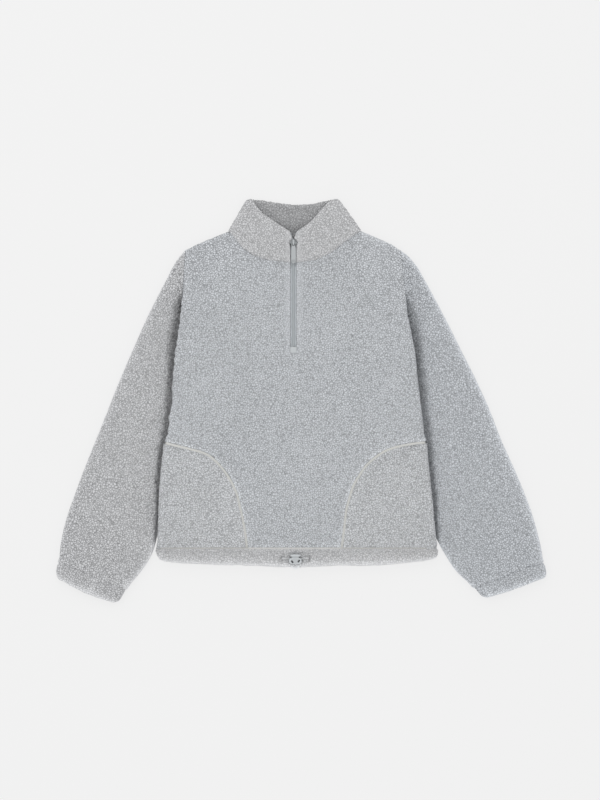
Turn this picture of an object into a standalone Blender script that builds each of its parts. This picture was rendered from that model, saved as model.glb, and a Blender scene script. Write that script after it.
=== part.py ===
"""Sherpa fleece pullover with a half zip, laid flat on its back on a table.

X runs across the garment, Y from the hem up to the neck, Z out of the table; the
origin is on the table, at the middle of the garment's box.  Lengths are in
millimetres here and are turned into metres when a mesh is made.

The back panel lies on the table, the front panel lies on it, and both bend round
to meet at the side seams.  The sleeves' inner halves are folded in under the body,
which is lifted there.  The collar, the hem casing and the cuffs are doubled bands
that run round their openings.
"""
import math

import bmesh
import bpy
import numpy as np
from mathutils import Matrix

MM = 0.001
GAP = 0.3                 # between pieces that are sewn together or lie on each other

FLEECE = 4.5              # the pile fabric of the panels, with its pile
SLEEVE_FLEECE = 4.3
POCKET_FLEECE = 4.0
MID_HEIGHT = 6.1          # where front and back meet, above what the body lies on
FOLD_RADIUS = 6.0         # of the side and shoulder folds
FOLD_STEPS = (0.0, 0.8, 2.6, 6.0)        # distances from a fold where the cloth bends
LOFT_MIDDLE = 10.8        # height of the front panel over what the body lies on
LOFT_EDGE = 1.4           # more than that beside a fold
LOFT_NECK = 1.0           # and more again below the collar
PRESSED_SLEEVE = 9.6      # two layers of sleeve under the body
LIFT = 10.1               # of the body where it lies on them
LIFT_MARGIN = 20.0        # the full lift reaches this far past the sleeve's fold
LIFT_RUN = 80.0           # and then falls away over this
LIFT_TOP = (145.0, 45.0)  # y where it falls away towards the armhole, and over how much
LIFT_HEM_RUN = 54.0       # and over how much above the hem seam
EDGE_RUN = 45.0           # the loft beside a fold falls to the middle's over this
NECK_RUN = 70.0
ARMHOLE_CUT = (150.0, 30.0)              # y where the side fold becomes a cut edge, and its run
SHOULDER_RUN = 8.0
BODY_TOP = 250.0          # the shoulder's outer end

ZIP_X = -12.5             # centre line of zip, slider and front
ZIP_BOTTOM = 84.0
SLIT_HALF = 5.0           # half the width of the slit that shows the zip
BAND_HALF = 15.5          # half the width over the stitched bands beside the slit
HEM_SEAM = -246.0


def table(names, rows):
    """Rows of numbers as a dictionary with one array for each named column."""
    columns = np.array(rows, float).T
    return dict(zip(names.split(), columns))


# Side folds of the body, from the hem seam up to the shoulder.  Above y = 140 the
# edge is the straight armhole seam.
SIDES = table("y left right", [
    (-246, -237.0, 219.5),
    (-200, -234.0, 216.0),
    (-140, -231.0, 211.0),
    (-100, -227.5, 206.5),
    (-50, -221.0, 202.0),
    (0, -216.0, 197.0),
    (84, -210.0, 188.0),
    (124, -203.0, 180.0),
    (140, -199.3, 176.5),
    (250, -192.0, 165.0),
])

# Top edge of the front panel: left shoulder, neck seam, right shoulder.
FRONT_TOP = table("x y", [
    (-192, 250.0), (-175, 259.0), (-155, 267.5), (-134, 276.2), (-121, 280.2),
    (-114, 277.4), (-97, 253.8), (-77, 240.2), (-52, 233.4), (-28, 231.0),
    (-17.5, 230.2), (-7.5, 230.2), (3, 230.9), (25, 234.4), (50, 246.0),
    (72, 263.4), (93, 278.4), (100, 281.4), (115, 275.8), (133, 268.0),
    (152, 259.4), (165, 250.0),
])

# Top edge of the back panel between the same neck points.
BACK_TOP = table("x y", [
    (-192, 250.0), (-175, 259.0), (-155, 267.5), (-134, 276.2), (-121, 280.2),
    (-114, 277.4), (-97, 267.5), (-77, 260.0), (-52, 255.4), (-28, 253.8),
    (-17.5, 253.3), (-7.5, 253.3), (3, 253.9), (25, 256.6), (50, 261.6),
    (72, 267.2), (93, 278.4), (100, 281.4), (115, 275.8), (133, 268.0),
    (152, 259.4), (165, 250.0),
])
NECK_LEFT = -121.0        # the shoulder fold ends at these
NECK_RIGHT = 100.0

PANEL_ROWS = (-246, -230, -212, -190, -160, -120, -80, -40, 0, 42, 84, 114, 140, 160,
              180, 205)
TOP_STEPS = (14.0, 6.0, 2.6, 0.8, 0.0)   # rows below the panel's top edge

# Sleeves, from the armhole to the cuff seam: the outer fold and the fold that lies
# under the body.
LEFT_SLEEVE = table("outer_x outer_y inner_x inner_y", [
    (-192.3, 250.0, -199.7, 139.5),
    (-203, 238.0, -198.0, 127.0),
    (-213.5, 222.0, -190.0, 111.0),
    (-224, 201.0, -178.0, 92.0),
    (-235, 180.0, -168.0, 70.0),
    (-258, 134.0, -161.0, 40.0),
    (-280, 84.0, -160.0, 8.0),
    (-301.5, 34.0, -165.0, -24.0),
    (-321.5, -16.0, -174.0, -57.0),
    (-341.5, -66.0, -192.0, -100.0),
    (-361.5, -116.0, -213.0, -145.0),
    (-380, -166.0, -233.0, -190.0),
    (-391.5, -200.0, -241.5, -226.0),
    (-399.0, -232.0, -250.5, -258.0),
    (-401.5, -252.0, -267.0, -286.0),
    (-402.5, -269.0, -291.0, -313.5),
])
RIGHT_SLEEVE = table("outer_x outer_y inner_x inner_y", [
    (165.3, 250.0, 176.9, 139.5),
    (179, 239.5, 176.0, 127.0),
    (194.5, 220.5, 168.5, 111.0),
    (205, 202.0, 158.0, 92.0),
    (216, 182.0, 148.0, 70.0),
    (241.5, 134.0, 140.0, 40.0),
    (266.5, 84.0, 138.5, 8.0),
    (291.5, 34.0, 143.0, -24.0),
    (314, -16.0, 152.0, -57.0),
    (333.5, -66.0, 170.0, -100.0),
    (356, -116.0, 192.0, -145.0),
    (376.5, -166.0, 214.0, -190.0),
    (388, -200.0, 223.5, -226.0),
    (396.5, -232.0, 240.5, -258.0),
    (401, -252.0, 259.8, -286.0),
    (402, -268.5, 288.0, -311.0),
])
SLEEVE_LOFT = 12.4        # height of a sleeve where nothing lies on it
SLEEVE_COLUMNS = 8        # between the folds
BESIDE_BODY = (5.0, 26.0)                # where the sleeve starts to rise beside it, and its run
SLEEVE_HEAD = (142.0, 36.0)              # y where it takes the body's height, and its run
BELOW_HEM = (-196.0, 40.0)               # y where it is free of the body, and its run
CUFF_LOFT = 15.0
CUFF_END = {"left": ((-408.0, -295.0), (-303.5, -340.0)),
            "right": ((409.5, -294.0), (303.0, -330.0))}
CUFF_LENGTH = 26.0
CUFF_CORNER = 2.5         # how far a cuff's lower corners are drawn in
GATHER_DEPTH = 1.0        # of the folds drawn in at the cuff seam

# Profile of a cuff: distance from the seam, and depth under its outer face.
CUFF_PROFILE = ((0.4, 1.4), (2.5, 0.2), (8, 0.0), (20, 0.0), (24, 1.0), (26, 3.5),
                (24, 6.0), (20, 7.0), (2.5, 7.0), (0.4, 5.8))

# Hem casing: lower edge of the band, from the left side fold to the right one.
HEM_EDGE = table("x y", [
    (-241, -256.5), (-236, -262.5), (-226, -266.5), (-200, -269.5), (-168, -271.0),
    (-135, -272.6), (-100, -272.8), (-68, -274.4), (-35, -276.0), (0, -276.3),
    (32, -275.0), (66, -273.2), (100, -274.2), (132, -273.0), (165, -270.2),
    (200, -265.8), (214, -262.6), (224, -257.6), (228, -254.0),
])
HEM_LEFT = -241.5
HEM_RIGHT = 227.0
HEM_LOFT = 18.0
HEM_COLUMNS = 22
# Fraction of the band's height below the seam, and depth under its outer face.
# The last four are the channel that the drawcord runs in.
HEM_PROFILE = ((0.0, 1.2), (0.1, 0.1), (0.35, 0.0), (0.7, 0.0), (0.9, 1.4), (1.0, 4.3),
               (0.9, 7.2), (0.7, 8.4), (0.1, 8.4), (0.0, 7.4), (0.0, 4.7), (0.75, 4.7),
               (0.75, 3.9), (0.0, 3.9))

# Collar, a doubled band: its seam and its top edge in plan.  The rows run from the
# left zip edge round the back to the right zip edge.  turn is 0 on the front, 180 on
# the back and between them round the side folds.
COLLAR = table("seam_x seam_y top_x top_y turn", [
    (-18.0, 230.8, -19.5, 280.5, 0),
    (-28.0, 231.6, -30.0, 287.0, 0),
    (-52.0, 234.0, -47.0, 299.0, 0),
    (-77.0, 240.8, -64.0, 310.5, 0),
    (-97.0, 254.4, -75.0, 323.5, 0),
    (-114.0, 278.0, -81.5, 333.5, 0),
    (-114.0, 278.0, -82.0, 332.6, 35),
    (-114.0, 278.0, -83.3, 330.5, 70),
    (-114.0, 278.0, -83.3, 330.5, 110),
    (-114.0, 278.0, -82.0, 332.6, 145),
    (-114.0, 278.0, -81.5, 333.5, 180),
    (-85.0, 263.5, -69.0, 333.0, 180),
    (-50.0, 256.0, -42.0, 328.5, 180),
    (-12.0, 254.2, -12.0, 324.5, 180),
    (25.0, 257.2, 20.0, 326.5, 180),
    (62.0, 265.5, 42.0, 331.5, 180),
    (93.0, 279.0, 53.5, 333.5, 180),
    (93.0, 279.0, 53.9, 332.7, 215),
    (93.0, 279.0, 55.4, 330.7, 250),
    (93.0, 279.0, 55.4, 330.7, 290),
    (93.0, 279.0, 53.9, 332.7, 325),
    (93.0, 279.0, 53.5, 333.5, 360),
    (72.0, 264.0, 42.0, 326.0, 360),
    (50.0, 246.6, 31.0, 313.0, 360),
    (25.0, 235.0, 14.5, 295.0, 360),
    (3.0, 231.5, 2.0, 286.0, 360),
    (-7.0, 230.8, -4.8, 281.0, 360),
])
COLLAR_SEAM_THICKNESS = 6.4
COLLAR_TOP_THICKNESS = 7.2
COLLAR_CLEARANCE = 0.5    # inside the collar, between its front and its back
# Cross-section of the band: share of its height, and share of half its thickness.
COLLAR_SECTION = ((0.0, 0.7), (0.04, 1.0), (0.5, 1.0), (0.93, 1.0), (0.98, 0.7), (1.0, 0.0),
                  (0.98, -0.7), (0.93, -1.0), (0.5, -1.0), (0.04, -1.0), (0.0, -0.7))

# Curved pocket openings, from the side fold to the hem seam.
LEFT_POCKET = table("x y", [
    (-250, -67.5), (-224.5, -68.5), (-210, -72), (-181, -79), (-159, -85.5), (-143, -96),
    (-127, -114), (-114, -134), (-105, -154), (-99.5, -175.5), (-94, -200.5), (-90, -223.5),
    (-88, -246), (-87.5, -262),
])
RIGHT_POCKET = table("x y", [
    (230, -66), (205.5, -67.5), (189, -69), (160, -74.5), (140, -81), (125.5, -90),
    (109.5, -103.5), (97.5, -119.5), (85, -141), (78, -163), (73, -183), (70.5, -204),
    (68, -225.5), (65.5, -245.5), (65, -262),
])
POCKET_FAR_X = {"left": -262.0, "right": 242.0}       # outside the body's side fold
BINDING_WIDTH = 4.6
BINDING_HEIGHT = 5.0
CUTTER_Z = (-5.0, 45.0)   # below and above the whole garment

EYELET_X = (-32.5, 13.5)
EYELET_Y = -261.5
EYELET_SIZE = (3.8, 10.5, 8.0)

LOCK_CENTRE = (-9.5, -265.2, 22.9)
LOCK_SIZE = (20.4, 11.2, 9.0)
PLUNGER_CAP = (15.0, 3.0, 7.0)
PLUNGER_STEM = (6.4, 8.6, 4.4)
PLUNGER_GAP = 2.0         # between the cap and the lock at rest
PLUNGER_ROOM = 2.0        # beyond the stem's end
LOCK_BEVEL = 3.4
LOCK_SLOT = (2.0, 4.6, 2.6)
LOCK_SLOT_AT = ((-5.3, -2.0, 35.0), (5.3, -2.0, -35.0))

CORD_DIAMETER = 3.0
# Left half of the drawcord's route, out of the eyelet, through the lock and half
# round its loop.  x is counted from the middle of the lock.
CORD_ROUTE = (
    (-23.0, -261.5, 14.9), (-23.0, -261.5, 17.2), (-21.7, -261.5, 20.4),
    (-18.6, -261.4, 22.3), (-14.8, -261.3, 22.8), (-11.2, -261.4, 22.7),
    (-8.0, -262.7, 22.5), (-6.1, -265.8, 22.4), (-5.7, -269.8, 22.2),
    (-5.6, -272.9, 21.7), (-4.3, -276.0, 21.2), (0.0, -277.8, 20.9),
)
CORD_STEP = 4.2           # between the points that the tube is made from
CHANNEL_RADIUS = 1.95

SLIDER_CENTRE_Y = 262.0
SLIDER_SIZE = (10.4, 12.6, 3.2)
SLIDER_BASE_Z = 11.55
SMALL_BEVEL = 1.2         # of the slider and the plunger's cap
BRIDGE_WIDTH = 2.2
BRIDGE_LENGTH = 8.8
BRIDGE_HEIGHT = 4.6
BRIDGE_WALL = 1.3
AXLE_HEIGHT = 1.85        # of the pull tab's crossbar over the slider
PULL_THICKNESS = 2.0
PULL_TILT = math.radians(4.5)
# Half outline of the pull tab, from its crossbar to its tip: half width, distance.
PULL_OUTLINE = ((3.1, 0.95), (3.1, -6.0), (3.8, -9.0), (4.0, -26.0), (3.8, -31.0),
                (2.9, -33.8), (1.4, -34.8))
PULL_HOLE = (1.75, -0.95, -5.4)          # half width, top, bottom

ZIP_RISE = (225.0, 55.0, 1.2)            # y where the zip starts to rise, its run, how much
FRONT_END = 230.0         # the front's top edge at the zip
TAPE_DEPTH = 3.4          # of the zip tape under the front's surface
TAPE_THICKNESS = 1.0
# Half widths of the tape: closed up to the slider, two arms above it.
TAPE = table("y outer inner", [
    (86, 4.7, 0.2), (120, 4.7, 0.2), (150, 4.7, 0.2), (180, 4.7, 0.2), (210, 4.7, 0.2),
    (230, 4.7, 0.2), (250, 4.9, 0.2), (262, 4.9, 0.2), (279, 6.9, 3.6),
])
COIL_ROWS = (88.0, 120.0, 150.0, 180.0, 210.0, 230.0, 250.0, 267.0)
COIL_HALF = 2.7
COIL_HEIGHT = 1.5
# The coil's section: shares of its half width and of its height.
COIL_SECTION = ((1.0, 0.0), (1.0, 0.5), (0.6, 1.0), (0.0, 0.8), (-0.6, 1.0), (-1.0, 0.5),
                (-1.0, 0.0))
PATCH_SIZE = (10.6, 10.0, 1.0)
PATCH_CLEARANCE = 0.5

COLOURS = {
    "fleece": (0.44, 0.46, 0.48, 1.0),
    "binding": (0.52, 0.52, 0.50, 1.0),
    "tape": (0.36, 0.39, 0.41, 1.0),
    "plastic": (0.45, 0.46, 0.47, 1.0),
    "cord": (0.46, 0.47, 0.48, 1.0),
}
ROUGHNESS = {"fleece": 0.95, "binding": 0.8, "tape": 0.75, "plastic": 0.4, "cord": 0.8}


# ---------------------------------------------------------------- small helpers

def ease(value):
    """0 below 0, 1 above 1, and a smooth step between."""
    t = np.clip(value, 0.0, 1.0)
    return t * t * (3.0 - 2.0 * t)


def bend(distance, radius):
    """How far up its quarter circle the cloth is, at a distance from a fold."""
    t = np.clip(distance / radius, 0.0, 1.0)
    return np.sqrt(1.0 - (1.0 - t) ** 2)


def mix(a, b, share):
    return a + (b - a) * share


def add_material(obj, finish):
    """The object's own Principled material."""
    material = bpy.data.materials.new(obj.name + "_" + finish)
    material.use_nodes = True
    shader = material.node_tree.nodes["Principled BSDF"]
    shader.inputs["Base Color"].default_value = COLOURS[finish]
    shader.inputs["Roughness"].default_value = ROUGHNESS[finish]
    shader.inputs["Metallic"].default_value = 0.0
    obj.data.materials.clear()
    obj.data.materials.append(material)


def add_mesh(name, points, faces, collection, finish=None):
    """A mesh object from points in millimetres, with its faces turned outwards."""
    mesh = bpy.data.meshes.new(name)
    mesh.from_pydata((np.asarray(points, float) * MM).tolist(), [], faces)
    cloth = bmesh.new()
    cloth.from_mesh(mesh)
    bmesh.ops.recalc_face_normals(cloth, faces=cloth.faces)
    cloth.to_mesh(mesh)
    cloth.free()
    obj = bpy.data.objects.new(name, mesh)
    collection.objects.link(obj)
    if finish:
        add_material(obj, finish)
    return obj


def wall(outer, inner, keep=None):
    """Points and faces of a cloth wall between two grids of the same shape.

    keep says which cells of the grid are cloth; a rim closes every open edge.
    """
    rows, columns = outer.shape[:2]
    if keep is None:
        keep = np.ones((rows - 1, columns - 1), bool)
    count = rows * columns
    points = np.concatenate([outer.reshape(-1, 3), inner.reshape(-1, 3)])
    faces = []
    open_edges = set()
    for r, c in zip(*np.nonzero(keep)):
        ring = (r * columns + c, r * columns + c + 1,
                (r + 1) * columns + c + 1, (r + 1) * columns + c)
        ring = tuple(int(i) for i in ring)
        for corner in ((0, 1, 2), (0, 2, 3)):
            face = tuple(ring[i] for i in corner)
            faces.append(face)
            faces.append(tuple(i + count for i in reversed(face)))
        for a, b in zip(ring, ring[1:] + ring[:1]):
            if (b, a) in open_edges:
                open_edges.remove((b, a))
            else:
                open_edges.add((a, b))
    for a, b in sorted(open_edges):
        faces.append((b, a, a + count, b + count))
    return points, faces


def loft(rings, close):
    """Points and faces through closed rings; close joins the last to the first."""
    rings = np.asarray(rings)
    number, size = rings.shape[:2]
    faces = []
    for r in range(number if close else number - 1):
        below = r * size
        above = (r + 1) % number * size
        for k in range(size):
            after = (k + 1) % size
            faces.append((below + k, below + after, above + after, above + k))
    if not close:
        faces.append(tuple(reversed(range(size))))
        faces.append(tuple(range((number - 1) * size, number * size)))
    return rings.reshape(-1, 3), faces


def flat_ring(start, end, height, inset, columns, gather=None):
    """A closed ring round a tube of cloth that lies flat on the table.

    It runs from the fold at start to the fold at end on top and back underneath.
    height gives the tube's height at points in plan, and inset how far the ring
    lies inside the tube's outer face.  gather may shift the top's height.
    """
    start, end = np.array(start, float), np.array(end, float)
    length = np.linalg.norm(end - start)
    along = (end - start) / length
    first = float(height(*start)) / 2 - inset
    last = float(height(*end)) / 2 - inset
    steps = np.array(FOLD_STEPS) / FOLD_RADIUS
    middle = np.linspace(first, length - 2 * inset - last, columns + 2)[1:-1]
    distance = np.concatenate([steps * first, middle, length - 2 * inset - last * steps[::-1]])
    from_fold = bend(distance, first) * bend(length - 2 * inset - distance, last)
    plan = start + along * (distance + inset)[:, None]
    half = height(plan[:, 0], plan[:, 1]) / 2
    top = half + (half - inset) * from_fold
    if gather is not None:
        top = top + gather * from_fold
    low = half - (half - inset) * from_fold
    upper = np.column_stack([plan, top])
    lower = np.column_stack([plan, low])[1:-1][::-1]
    return np.concatenate([upper, lower])


def make_collection(name):
    collection = bpy.data.collections.new(name)
    bpy.context.scene.collection.children.link(collection)
    return collection


def cutter_from(obj):
    obj.hide_render = True
    obj.display_type = 'WIRE'
    return obj


def boolean(obj, other, operation):
    modifier = obj.modifiers.new(operation.title(), 'BOOLEAN')
    modifier.operation = operation
    modifier.object = other
    modifier.solver = 'EXACT'


def add_box(name, centre, size, collection, turn=0.0):
    """A box primitive at its real size, turned about Z."""
    bpy.ops.mesh.primitive_cube_add(size=1.0)
    box = bpy.context.object
    box.name = name
    box.data.name = name
    box.data.transform(Matrix.Diagonal([value * MM for value in size] + [1.0]))
    box.location = [value * MM for value in centre]
    box.rotation_euler.z = turn
    for other in list(box.users_collection):
        other.objects.unlink(box)
    collection.objects.link(box)
    return box


def add_bevel(obj, width, segments):
    bevel = obj.modifiers.new("Bevel", 'BEVEL')
    bevel.width = width * MM
    bevel.segments = segments
    bevel.limit_method = 'ANGLE'


# ---------------------------------------------------------------- the laid body

def side_at(y, side):
    """x of the body's side fold or armhole seam at a height."""
    return np.interp(y, SIDES["y"], SIDES[side])


def sleeve_fold_at(y, sleeve):
    """x of the sleeve's hidden fold under the body."""
    order = np.argsort(sleeve["inner_y"])
    return np.interp(y, sleeve["inner_y"][order], sleeve["inner_x"][order])


def lift(x, y):
    """Height of what the body lies on: the sleeves' folded-in halves."""
    left = x - sleeve_fold_at(y, LEFT_SLEEVE)
    right = sleeve_fold_at(y, RIGHT_SLEEVE) - x
    inward = np.minimum(left, right)
    across = 1.0 - ease((inward - LIFT_MARGIN) / LIFT_RUN)
    upper = 1.0 - ease((y - LIFT_TOP[0]) / LIFT_TOP[1])
    lower = ease((y - HEM_SEAM) / LIFT_HEM_RUN)
    return LIFT * across * upper * lower


def body_surface(x, y, top):
    """Height share, loft and outward direction of the body's cloth in plan.

    The cloth bends round at the side folds and the shoulder folds.  At the armhole
    and the neck it is a cut edge and stays level.
    """
    from_left = x - side_at(y, "left")
    from_right = side_at(y, "right") - x
    from_side = np.minimum(from_left, from_right)
    from_top = np.interp(x, top["x"], top["y"]) - y
    at_armhole = ease((y - ARMHOLE_CUT[0]) / ARMHOLE_CUT[1])
    at_shoulder = np.maximum(ease((NECK_LEFT - x) / SHOULDER_RUN),
                             ease((x - NECK_RIGHT) / SHOULDER_RUN))
    side_bend = mix(bend(from_side, FOLD_RADIUS), 1.0, at_armhole)
    top_bend = mix(1.0, bend(from_top, FOLD_RADIUS), at_shoulder)
    share = side_bend * top_bend
    loft_height = (LOFT_MIDDLE + LOFT_EDGE * (1.0 - ease(from_side / EDGE_RUN))
                   + LOFT_NECK * (1.0 - ease(from_top / NECK_RUN)))
    out_x = np.clip(1.0 - from_side / FOLD_RADIUS, 0.0, 1.0) * (1.0 - at_armhole)
    out_x = out_x * np.where(from_left < from_right, -1.0, 1.0)
    out_y = np.clip(1.0 - from_top / FOLD_RADIUS, 0.0, 1.0) * at_shoulder
    flat = np.maximum(np.hypot(out_x, out_y), 1.0)
    out_x, out_y = out_x / flat, out_y / flat
    up = np.sqrt(np.maximum(1.0 - out_x ** 2 - out_y ** 2, 0.0))
    up = np.minimum(up, share * (MID_HEIGHT - GAP) / FLEECE)
    return share, loft_height, np.stack([out_x, out_y, up], axis=-1)


def front_points(x, y, top, out=0.0):
    """Points of the front panel's outer face, moved out of it by a distance."""
    share, loft_height, normal = body_surface(x, y, top)
    low = MID_HEIGHT + GAP / 2
    z = lift(x, y) + low + (loft_height - low) * share
    return np.stack([x, y, z], axis=-1) + normal * out


def back_points(x, y, top, out=0.0):
    """Points of the back panel's lower face, moved out of it by a distance."""
    share, _, normal = body_surface(x, y, top)
    high = MID_HEIGHT - GAP / 2
    z = lift(x, y) + high * (1.0 - share)
    normal = normal * np.array([1.0, 1.0, -1.0])
    return np.stack([x, y, z], axis=-1) + normal * out


def panel_plan(top):
    """Grid of x and y over a body panel, and the column where the slit begins.

    Near the sides the columns keep their distance from the fold, near the zip
    from the zip, and between they share the width out.
    """
    left_top = [x for x in top["x"] if x <= ZIP_X - BAND_HALF + 0.6]
    right_top = [x for x in top["x"] if x >= ZIP_X + BAND_HALF - 0.6]
    rows = []
    for index in range(len(PANEL_ROWS) + len(TOP_STEPS)):
        columns = []
        for side, tops, sign in (("left", left_top, 1.0), ("right", right_top, -1.0)):
            outer_top = side_at(BODY_TOP, side)
            band = ZIP_X - sign * BAND_HALF
            start = outer_top + sign * FOLD_RADIUS
            inside = [x for x in tops if sign * (x - start) > 2.0]
            shares = [(x - start) / (band - start) for x in inside]
            half = [("fold", step) for step in FOLD_STEPS]
            half += [("share", share) for share in sorted(shares)]
            half += [("slit", 0.0)]
            columns.append(half)
        plan = []
        for (side, sign), half in zip((("left", 1.0), ("right", -1.0)), columns):
            line = []
            for kind, value in half:
                if index < len(PANEL_ROWS):
                    y = float(PANEL_ROWS[index])
                    x = column_x(kind, value, y, side, sign)
                else:
                    x = column_x(kind, value, BODY_TOP, side, sign)
                    y = float(np.interp(x, top["x"], top["y"]))
                    y -= TOP_STEPS[index - len(PANEL_ROWS)]
                    if kind == "fold":
                        x = column_x(kind, value, y, side, sign)
                line.append((x, y))
            plan.append(line)
        rows.append(plan[0] + plan[1][::-1])
    grid = np.array(rows)
    return grid[..., 0], grid[..., 1], len(columns[0]) - 1


def column_x(kind, value, y, side, sign):
    """x of one grid column of a body panel at a height."""
    edge = float(side_at(y, side))
    if kind == "fold":
        return edge + sign * value
    if kind == "slit":
        return ZIP_X - sign * SLIT_HALF
    start = edge + sign * FOLD_RADIUS
    return mix(start, ZIP_X - sign * BAND_HALF, value)


def make_front(collection):
    """Front panel with the slit for the half zip."""
    x, y, slit = panel_plan(FRONT_TOP)
    keep = np.ones((x.shape[0] - 1, x.shape[1] - 1), bool)
    keep[PANEL_ROWS.index(int(ZIP_BOTTOM)):, slit] = False
    outer = front_points(x, y, FRONT_TOP)
    inner = front_points(x, y, FRONT_TOP, -FLEECE)
    return add_mesh("front_body", *wall(outer, inner, keep), collection, "fleece")


def make_back(collection):
    x, y, _ = panel_plan(BACK_TOP)
    outer = back_points(x, y, BACK_TOP)
    inner = back_points(x, y, BACK_TOP, -FLEECE)
    return add_mesh("back_body", *wall(outer, inner), collection, "fleece")


# ---------------------------------------------------------------- sleeves and cuffs

def sleeve_height(side):
    """Height of a sleeve in plan: low under the body's edge, full beside it."""
    sign = -1.0 if side == "left" else 1.0

    def height(x, y):
        beside = sign * (x - side_at(y, side))
        rise = ease((beside - BESIDE_BODY[0]) / BESIDE_BODY[1])
        loose = mix(PRESSED_SLEEVE, SLEEVE_LOFT, rise)
        at_head = ease((y - SLEEVE_HEAD[0]) / SLEEVE_HEAD[1])
        below_hem = ease((BELOW_HEM[0] - y) / BELOW_HEM[1])
        head = LOFT_MIDDLE + LOFT_EDGE + LOFT_NECK * (1.0 - ease((BODY_TOP - y) / NECK_RUN))
        return mix(mix(loose, SLEEVE_LOFT, below_hem), head, at_head)

    return height


def make_sleeve(side, rows, collection):
    """Sleeve: a flat tube of cloth, open at the armhole and the cuff seam."""
    height = sleeve_height(side)
    number = len(rows["outer_x"])
    outer, inner = [], []
    ridges = np.zeros(2 * len(FOLD_STEPS) + SLEEVE_COLUMNS)
    ridges[len(FOLD_STEPS):-len(FOLD_STEPS)] = np.cos(np.pi * np.arange(SLEEVE_COLUMNS))
    for r in range(number):
        start = (rows["outer_x"][r], rows["outer_y"][r])
        end = (rows["inner_x"][r], rows["inner_y"][r])
        gather = ridges * GATHER_DEPTH * float(ease((r - number + 3.5) / 2.5)) * 0.5
        outer.append(flat_ring(start, end, height, 0.0, SLEEVE_COLUMNS, gather))
        inner.append(flat_ring(start, end, height, SLEEVE_FLEECE, SLEEVE_COLUMNS, gather))
    return add_mesh("sleeve_" + side, *loft(outer + inner[::-1], True), collection, "fleece")


def cuff_height(x, y):
    return np.full(np.shape(x), CUFF_LOFT)


def make_cuff(side, rows, collection):
    """Cuff: a doubled band, folded at its lower edge, whose lower corners are drawn in."""
    seam_start = np.array([rows["outer_x"][-1], rows["outer_y"][-1]])
    seam_end = np.array([rows["inner_x"][-1], rows["inner_y"][-1]])
    low_start, low_end = (np.array(point) for point in CUFF_END[side])
    along = (low_end - low_start) / np.linalg.norm(low_end - low_start)
    rings = []
    for distance, depth in CUFF_PROFILE:
        share = distance / CUFF_LENGTH
        drawn_in = along * CUFF_CORNER * share ** 6
        rings.append(flat_ring(mix(seam_start, low_start, share) + drawn_in,
                               mix(seam_end, low_end, share) - drawn_in,
                               cuff_height, depth, SLEEVE_COLUMNS))
    return add_mesh("cuff_" + side, *loft(rings, True), collection, "fleece")


# ---------------------------------------------------------------- hem and collar

def make_hem(collection, cutters):
    """Hem casing round the body's lower opening, with the drawcord's two eyelets."""
    rings = []
    half = HEM_LOFT / 2
    steps = np.array(FOLD_STEPS) / FOLD_RADIUS
    for fall, depth in HEM_PROFILE:
        radius = half - depth
        low_left, low_right = HEM_EDGE["x"][0] + 4.0, HEM_EDGE["x"][-1] - 4.0
        left = mix(HEM_LEFT, low_left, fall ** 2) + depth
        right = mix(HEM_RIGHT, low_right, fall ** 2) - depth
        middle = np.linspace(left + radius, right - radius, HEM_COLUMNS + 2)[1:-1]
        x = np.concatenate([left + steps * radius, middle, right - steps[::-1] * radius])
        y = mix(HEM_SEAM - GAP - 0.1, np.interp(x, HEM_EDGE["x"], HEM_EDGE["y"]), fall)
        share = bend(x - left, radius) * bend(right - x, radius)
        upper = np.column_stack([x, y, half + radius * share])
        lower = np.column_stack([x, y, half - radius * share])[1:-1][::-1]
        rings.append(np.concatenate([upper, lower]))
    hem = add_mesh("hem_casing", *loft(rings, True), collection, "fleece")
    for number, x in enumerate(EYELET_X):
        hole = add_box("eyelet_hole_%d" % (number + 1), (x, EYELET_Y, HEM_LOFT), EYELET_SIZE,
                       cutters)
        boolean(hem, cutter_from(hole), 'DIFFERENCE')
    return hem


def make_collar(collection):
    """Stand collar, a doubled band bent round the neck and pressed flat."""
    rings = []
    for seam_x, seam_y, top_x, top_y, turn in zip(*(COLLAR[name] for name in (
            "seam_x", "seam_y", "top_x", "top_y", "turn"))):
        axis = np.array([top_x - seam_x, top_y - seam_y])
        axis = axis / np.linalg.norm(axis)
        if turn <= 180:
            outward = np.array([-axis[1], axis[0]])
            angle = math.radians(turn)
        else:
            outward = np.array([axis[1], -axis[0]])
            angle = math.radians(360 - turn)
        normal = np.array([outward[0] * math.sin(angle), outward[1] * math.sin(angle),
                           math.cos(angle)])
        ring = []
        for share, side in COLLAR_SECTION:
            thickness = mix(COLLAR_SEAM_THICKNESS, COLLAR_TOP_THICKNESS, share)
            radius = thickness / 2 + COLLAR_CLEARANCE / 2
            plan = mix(np.array([seam_x, seam_y]), np.array([top_x, top_y]), share)
            centre = np.array([plan[0], plan[1], thickness + COLLAR_CLEARANCE / 2])
            ring.append(centre + normal * (radius + side * thickness / 2))
        rings.append(ring)
    return add_mesh("collar", *loft(rings, False), collection, "fleece")


# ---------------------------------------------------------------- pockets

def add_prism(name, outline, collection):
    """A closed outline in plan, carried up through the garment's whole height."""
    outline = np.asarray(outline)
    rings = [np.column_stack([outline, np.full(len(outline), z)]) for z in CUTTER_Z]
    return cutter_from(add_mesh(name, *loft(rings, False), collection))


def opening_line(side, shift):
    """The pocket's opening edge, moved into the pocket by a distance."""
    rows = LEFT_POCKET if side == "left" else RIGHT_POCKET
    line = np.column_stack([rows["x"], rows["y"]])
    along = np.gradient(line, axis=0)
    along = along / np.linalg.norm(along, axis=1)[:, None]
    sign = -1.0 if side == "left" else 1.0
    into = np.column_stack([-along[:, 1] * sign, along[:, 0] * sign])
    return line + into * shift


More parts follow.
